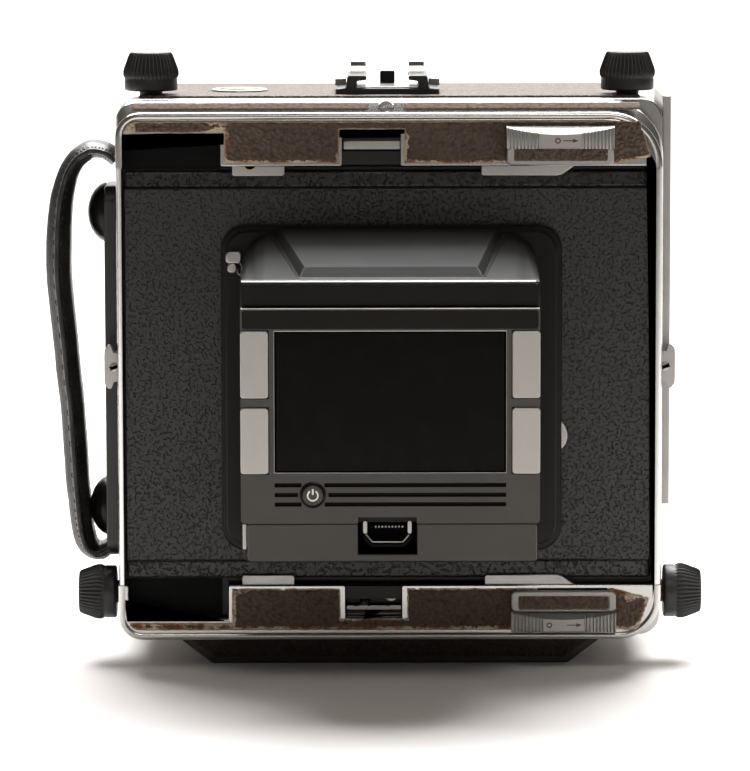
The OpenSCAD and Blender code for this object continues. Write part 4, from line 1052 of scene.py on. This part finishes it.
def make_shoe():
    """Black cast shoe with rolled lips, and the bright spring plate inside it."""
    x0 = -0.5
    form = Form()
    low, high = node_mm("accessory_shoe")
    z, top = low[2], high[2]
    section = [(-15.2, z), (-15.2, z + 2.4), (-12.6, z + 2.65), (-12.2, z + 3.0), (-11.9, top - 0.5),
               (-11.2, top),
               (-6.8, top), (-6.3, top - 0.3), (-6.5, top - 1.2), (-8.9, top - 1.5), (-9.3, top - 1.9),
               (-9.3, z + 2.6)]
    mirror = [(-x, h) for x, h in reversed(section)]
    outline = [(x + x0, h) for x, h in section + mirror]
    ys = (low[1], low[1] + 0.35, high[1] - 0.35, high[1])
    rings = []
    for i, y in enumerate(ys):
        tuck = 0.25 if i in (0, 3) else 0.0
        rings.append([(x - math.copysign(tuck, x - x0), y, max(h - tuck, z)) for x, h in outline])
    form.rings(rings)
    form.piece("shoe_rails", ENAMEL, "body", "body_paint", 40, width=0.15, replaces=("accessory_shoe",))
    plate = Form()
    floor = z + 2.62
    plate.box((x0 - 9, x0 + 9), (low[1] + 0.6, high[1] - 0.6), (floor, floor + 0.35))
    for s in (-1, 1):
        # the spring's ends rise out of the rails and curl outwards
        xs = x0 + s * 8.7
        curl = ((high[1] - 3.4, top - 2.4), (high[1] - 3.2, top - 0.9), (high[1] - 2.6, top + 0.6),
                (high[1] - 2.2, top + 1.7),
                (high[1] - 2.5, top + 2.6), (high[1] - 3.2, top + 2.9))
        plate.rings([[(xs - 2.3, y, zz), (xs + 2.3, y, zz), (xs + 2.3, y + 0.45, zz - 0.15),
                      (xs - 2.3, y + 0.45, zz - 0.15)]
                     for y, zz in curl])
        plate.rings([[(x0 + s * 12.3, y, floor - 0.2), (x0 + s * 15.6, y, floor - 0.2),
                      (x0 + s * 15.6, y, floor + 1.7),
                      (x0 + s * 12.3, y, floor + 1.9)] for y in (high[1] - 6, high[1] - 0.4)])
    plate.piece("shoe_spring_plate", CHROME, "body", "chrome", 40, width=0.12, replaces=("shoe_spring",))
    nub = Form()
    nub.rings([level(round_rect(x0 - 2.2, x0 + 2.2, floor + 0.2, top + 0.2, 0.5), y)
               for y in (high[1] - 3.0, high[1] - 1.2)])
    nub.piece("shoe_stop", DARK_METAL, "body", "chrome", width=0.15)


def make_release_button():
    low, high = node_mm("release_button")
    x, y = (low[0] + high[0]) / 2, (low[1] + high[1]) / 2
    # the cap's brown tint stands for the leather mirrored in its top: painted reflection
    form = Form()
    form.lathe([(7.2, low[2]), (7.2, low[2] + 0.6), (5.9, low[2] + 0.7), (5.9, high[2] - 0.5),
                (5.5, high[2] - 0.08),
                (4.9, high[2]), (2.5, high[2] - 0.35), (0.2, high[2] - 0.45)], 64,
               Matrix.Translation((x, y, 0)))
    form.piece("release_button_cap", LEATHER_TINTED_METAL, "release_button", "charcoal", 35, replaces=("release_button",))


# ---------------------------------------------------------------- hand strap
def spline(points, per_span):
    """Catmull-Rom line through the points."""
    out = []
    for i in range(len(points) - 1):
        a, b, c, d = (Vector(points[max(i - 1, 0)]), Vector(points[i]), Vector(points[i + 1]),
                      Vector(points[min(i + 2, len(points) - 1)]))
        for k in range(per_span):
            t = k / per_span
            out.append(0.5 * (2 * b + (c - a) * t + (2 * a - 5 * b + 4 * c - d) * t ** 2
                              + (3 * b - a - 3 * c + d) * t ** 3))
    return out + [Vector(points[-1])]


STRAP_LINE = [(-83.6, 33.4), (-86.6, 31.4), (-90.0, 32.6), (-92.2, 37.5), (-93.4, 48.5), (-94.8, 71.0),
              (-97.0, 94.0),
              (-98.9, 118.0), (-97.8, 137.0), (-94.4, 147.6), (-89.6, 152.0), (-85.0, 152.0), (-81.2, 149.4)]


def make_strap():
    """Padded strap: two hides sewn round a soft core, creased and torn along its inner edge."""
    low, high = node_mm("hand_strap")
    y_mid, half_w = (low[1] + high[1]) / 2, (high[1] - low[1]) / 2
    line = spline([(x, 0, z) for x, z in STRAP_LINE], 10)
    n = len(line) - 1
    ring_steps = 40
    rings, threads = [], {-1: [[], []], 1: [[], []]}
    for i, p in enumerate(line):
        t = i / n
        d = (line[min(i + 1, n)] - line[max(i - 1, 0)]).normalized()
        out = Vector((-d.z, 0, d.x))
        core = 3.2 * (0.62 + 0.5 * math.sin(math.pi * t))
        core *= 1 + 0.10 * noise.noise(Vector((t * 9, 0.3, 0.7)))
        bend = 0.35 * noise.noise(Vector((t * 22, 1.3, 0.1)))
        ring = []
        for k in range(ring_steps):
            a = 2 * math.pi * k / ring_steps
            u, side = math.cos(a), math.sin(a)
            u = math.copysign(abs(u) ** 0.55, u)
            reach = abs(u)
            # flat sewn hem outside the stitch line, padded crown inside it
            hem = 1.05
            crown = hem + (core - hem) * smoothstep(0.84, 0.45, reach)
            seam = 0.32 * math.exp(-((reach - 0.8) / 0.035) ** 2)
            thick = (crown - seam) * (abs(side) ** 0.35 if abs(side) > 1e-6 else 0)
            thick = min(thick, core)
            tear = 0.5 * noise.noise(Vector((t * 30, u, 4.2))) * smoothstep(0.85, 1.0, reach)
            wrinkle = 0.10 * noise.noise(Vector((t * 60, u * 2.5, 8.8))) * (1 - smoothstep(0.7, 0.9, reach))
            ring.append(p + out * (math.copysign(thick + wrinkle, side) + bend * 0.6)
                        + Vector((0, y_mid + u * (half_w - 0.3) + tear, 0)))
        rings.append(ring)
        for s in (-1, 1):
            threads[s][0].append((p, out, bend, core, d))
    form = Form()
    form.rings([[tuple(v) for v in ring] for ring in rings])
    obj = form.piece("hand_strap_hide", STRAP, "body", "strap_leather", 60, replaces=("hand_strap",))
    stitches = Form()
    for s in (-1, 1):
        samples = threads[s][0]
        for i in range(3, len(samples) - 4, 2):
            p, out, bend, core, d = samples[i]
            q = samples[i + 1][0]
            for face in (-1, 1):
                base = out * (face * 1.0 + bend * 0.6) + Vector((0, y_mid + s * 0.81 * (half_w - 0.3), 0))
                a, b = p + base, p + (q - p) * 0.75 + base
                mid = (a + b) / 2 + out * face * 0.22
                stitches.tube([a, mid, b], 0.2, 5)
    stitches.piece("strap_stitches", STRAP, "body", "strap_leather", 60)


def make_strap_fittings():
    """Plate on the camera's side with its glossy domes, the lugs, and the side rail with its screws."""
    plate = Form()
    low, high = node_mm("strap_plate")
    plate.rings([[(x, y, z) for y, z in round_rect(low[1] + d, high[1] - d, 31 + d, 142 - d, 5)]
                 for x, d in ((-80.5, 0), (-84.2, 0), (-84.6, 0.4))])
    plate.piece("strap_side_plate", ENAMEL, "body", "body_paint", 35, width=0.1, replaces=("strap_plate",))
    domes = Form()
    for z in (45, 133.5):
        domes.lathe([(8.9, 0), (8.9, 0.5), (8.2, 1.9), (6.9, 3.3), (5.0, 4.5), (2.6, 5.3), (0.2, 5.55)], 48,
                    at("left", -84.5, -10, z))
    domes.piece("strap_domes", GLOSS_BAND, "body", "body_paint", 60)
    lugs = Form()
    low, high = node_mm("strap_lugs")
    for s in (-1, 1):
        head = [(82.0, 83.4), (82.9, 83.2), (84.1, 84.6), (84.2, 86.5), (84.2, 93.0), (84.1, 94.9),
                (82.9, 96.3),
                (82.0, 96.1), (81.4, 94.2), (80.0, 93.8), (80.0, 85.6), (81.4, 85.2)]
        lugs.rings([[(s * x, y, z) for x, z in head] for y in (-35.4, -31.6)])
        lugs.slotted_screw(1.3, 0.5, at("rear", s * 81.2, -35.35, 89.7, 20), 0.2)
    lugs.piece("strap_lug_heads", SATIN, "rear_frame", "chrome", width=0.3, replaces=("strap_lugs",))
    rail = refined("side_rail", SATIN, 0.3)
    screws = Form()
    for z in (56, 108, 160):
        screws.slotted_screw(2.2, 0.7, at("right", 82.15, -5, z, 30 + z), 0.3)
    screws.piece("side_rail_screws", STEEL, "body", "alloy", width=0.08)
    return rail


# ---------------------------------------------------------------- bellows
BELLOWS_AT = (-31, -21, -1, 27, 57, 72, 90, 112, 127)
BELLOWS = (("bellows_back_tilt", "rear_frame", "lower_rods", 2),
           ("bellows_extension", "lower_rods", "body", 4),
           ("bellows_drop", "body", "bed", 5), ("bellows_focus", "bed", "focus_track", 5),
           ("bellows_swing", "focus_track", "swing_base", 3),
           ("bellows_shift", "swing_base", "front_standard", 3),
           ("bellows_rise", "front_standard", "rise_frame", 4),
           ("bellows_tilt", "rise_frame", "tilt_frame", 3))


def make_bellows():
    """Square pleated bellows with folded corners, in eight fixed lengths, one in place of each bellows part.
    """
    first, last = BELLOWS_AT[0], BELLOWS_AT[-1]

    def width(y):
        return 60 + (36 - 60) * (y - first) / (last - first)

    def ring(y, out, chamfer, inner=0.0):
        w = width(y) - out - inner
        c = chamfer
        pts = []
        corner = [(w - c, w), (w - 0.35 * c, w - 0.35 * c), (w, w - c)]
        for k in range(4):
            turn = Matrix.Rotation(-math.pi / 2 * k, 2)
            for p in corner:
                q = turn @ Vector(p)
                pts.append((q.x, y, 88 + q.y))
            nxt = turn @ Vector((w, 0.0))
            pts.append((nxt.x, y, 88 + nxt.y))
        return pts

    for i, (node, a, b, folds) in enumerate(BELLOWS):
        y0, y1 = BELLOWS_AT[i], BELLOWS_AT[i + 1]
        outer, inner = [], []
        count = folds * 4
        for k in range(count + 1):
            y = y0 + (y1 - y0) * k / count
            rise = (0.0, 0.5, 1.0, 0.5)[k % 4]
            out = 5.0 * (1 - rise) if rise != 0.5 else 2.3
            chamfer = (8.0, 5.0, 2.2, 5.0)[k % 4]
            outer.append(ring(y, out, chamfer))
            inner.append(ring(y, out, chamfer, 0.9))
        rings = outer + list(reversed(inner))
        form = Form()
        form.rings(rings + [rings[0]], caps=False)
        bmesh.ops.remove_doubles(form.bm, verts=form.bm.verts, dist=0.001)
        obj = form.piece(node + "_pleats", PLEAT, None, "bellows_cloth", 20, width=0.3, segments=2)
        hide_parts(node)
        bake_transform(obj)


# ---------------------------------------------------------------- body, bed, front
def inside_body(x, y, z, normal):
    return abs(x) < 76.6 and 13.2 < z < 165.3 and abs(normal.y) < 0.9


def make_body():
    refined("body_housing", SATIN, 0.5, 3, SMOOTH_BLACK, inside_body)
    refined("body_leather", HIDE, 0.3, 2)
    refined("tripod_base", ENAMEL, 0.6, 3)
    # the foot's leather takes the darkened hide: painted shade under the body
    patch("foot_leather", lambda x, z: min(inside_rect(x, z, -63, 63, 2.0, 9.3, 0.8),
                                           half_plane(x, z, -62.5, 9.5, -51.5, 1.6),
                                           half_plane(x, z, 51.5, 1.6, 62.5, 9.5)),
          (-64, 64), (1.5, 10), lambda x, z, h: (x, -29 - h, z), "body", SHADED_HIDE, thick=0.35)
    refined("tripod_bush", STEEL, 0.25)
    refined("bed_pin", STEEL, 0.2)
    refined("lower_rods", STEEL, 0.4)
    refined("upper_rods", STEEL, 0.4)
    refined("rear_frame", CHROME, 0.5, 3)


def make_bed():
    refined("bed", ENAMEL, 0.5, 2)
    refined("bed_struts", CHROME, 0.3)
    refined("focus_track", SATIN, 0)
    refined("focus_pinion", STEEL, 0)
    refined("carriage", SATIN, 0.4)
    refined("swing_base", SATIN, 0.4)


def make_front():
    refined("front_standard", SATIN, 0.4)
    refined("rise_frame", ENAMEL, 0.4)
    refined("tilt_frame", SATIN, 0.4)
    refined("lens_board", SMOOTH_BLACK, 0.4)
    refined("shutter", DARK_METAL, 0.4)
    refined("lens_barrel", DARK_METAL, 0.3)
    refined("aperture_ring", SATIN, 0.2)
    refined("shutter_lever", CHROME, 0.2)
    frame["nodes"]["lens_glass"].data.materials.clear()
    frame["nodes"]["lens_glass"].data.materials.append(LENS)


add_camera()
add_studio()
make_body()
make_back_leather()
make_revolving_back()
make_slide_locks()
make_adapter()
refined("release_lever", SATIN, 0.3)
make_roof()
make_cover()
make_keys()
make_battery()
for knob, side in (("knob_top_left", "up"), ("knob_top_right", "up"), ("knob_side_left", "left"),
                   ("knob_side_right", "right")):
    make_knob(knob, side)
make_shoe()
make_release_button()
make_strap()
make_strap_fittings()
make_bellows()
make_bed()
make_front()
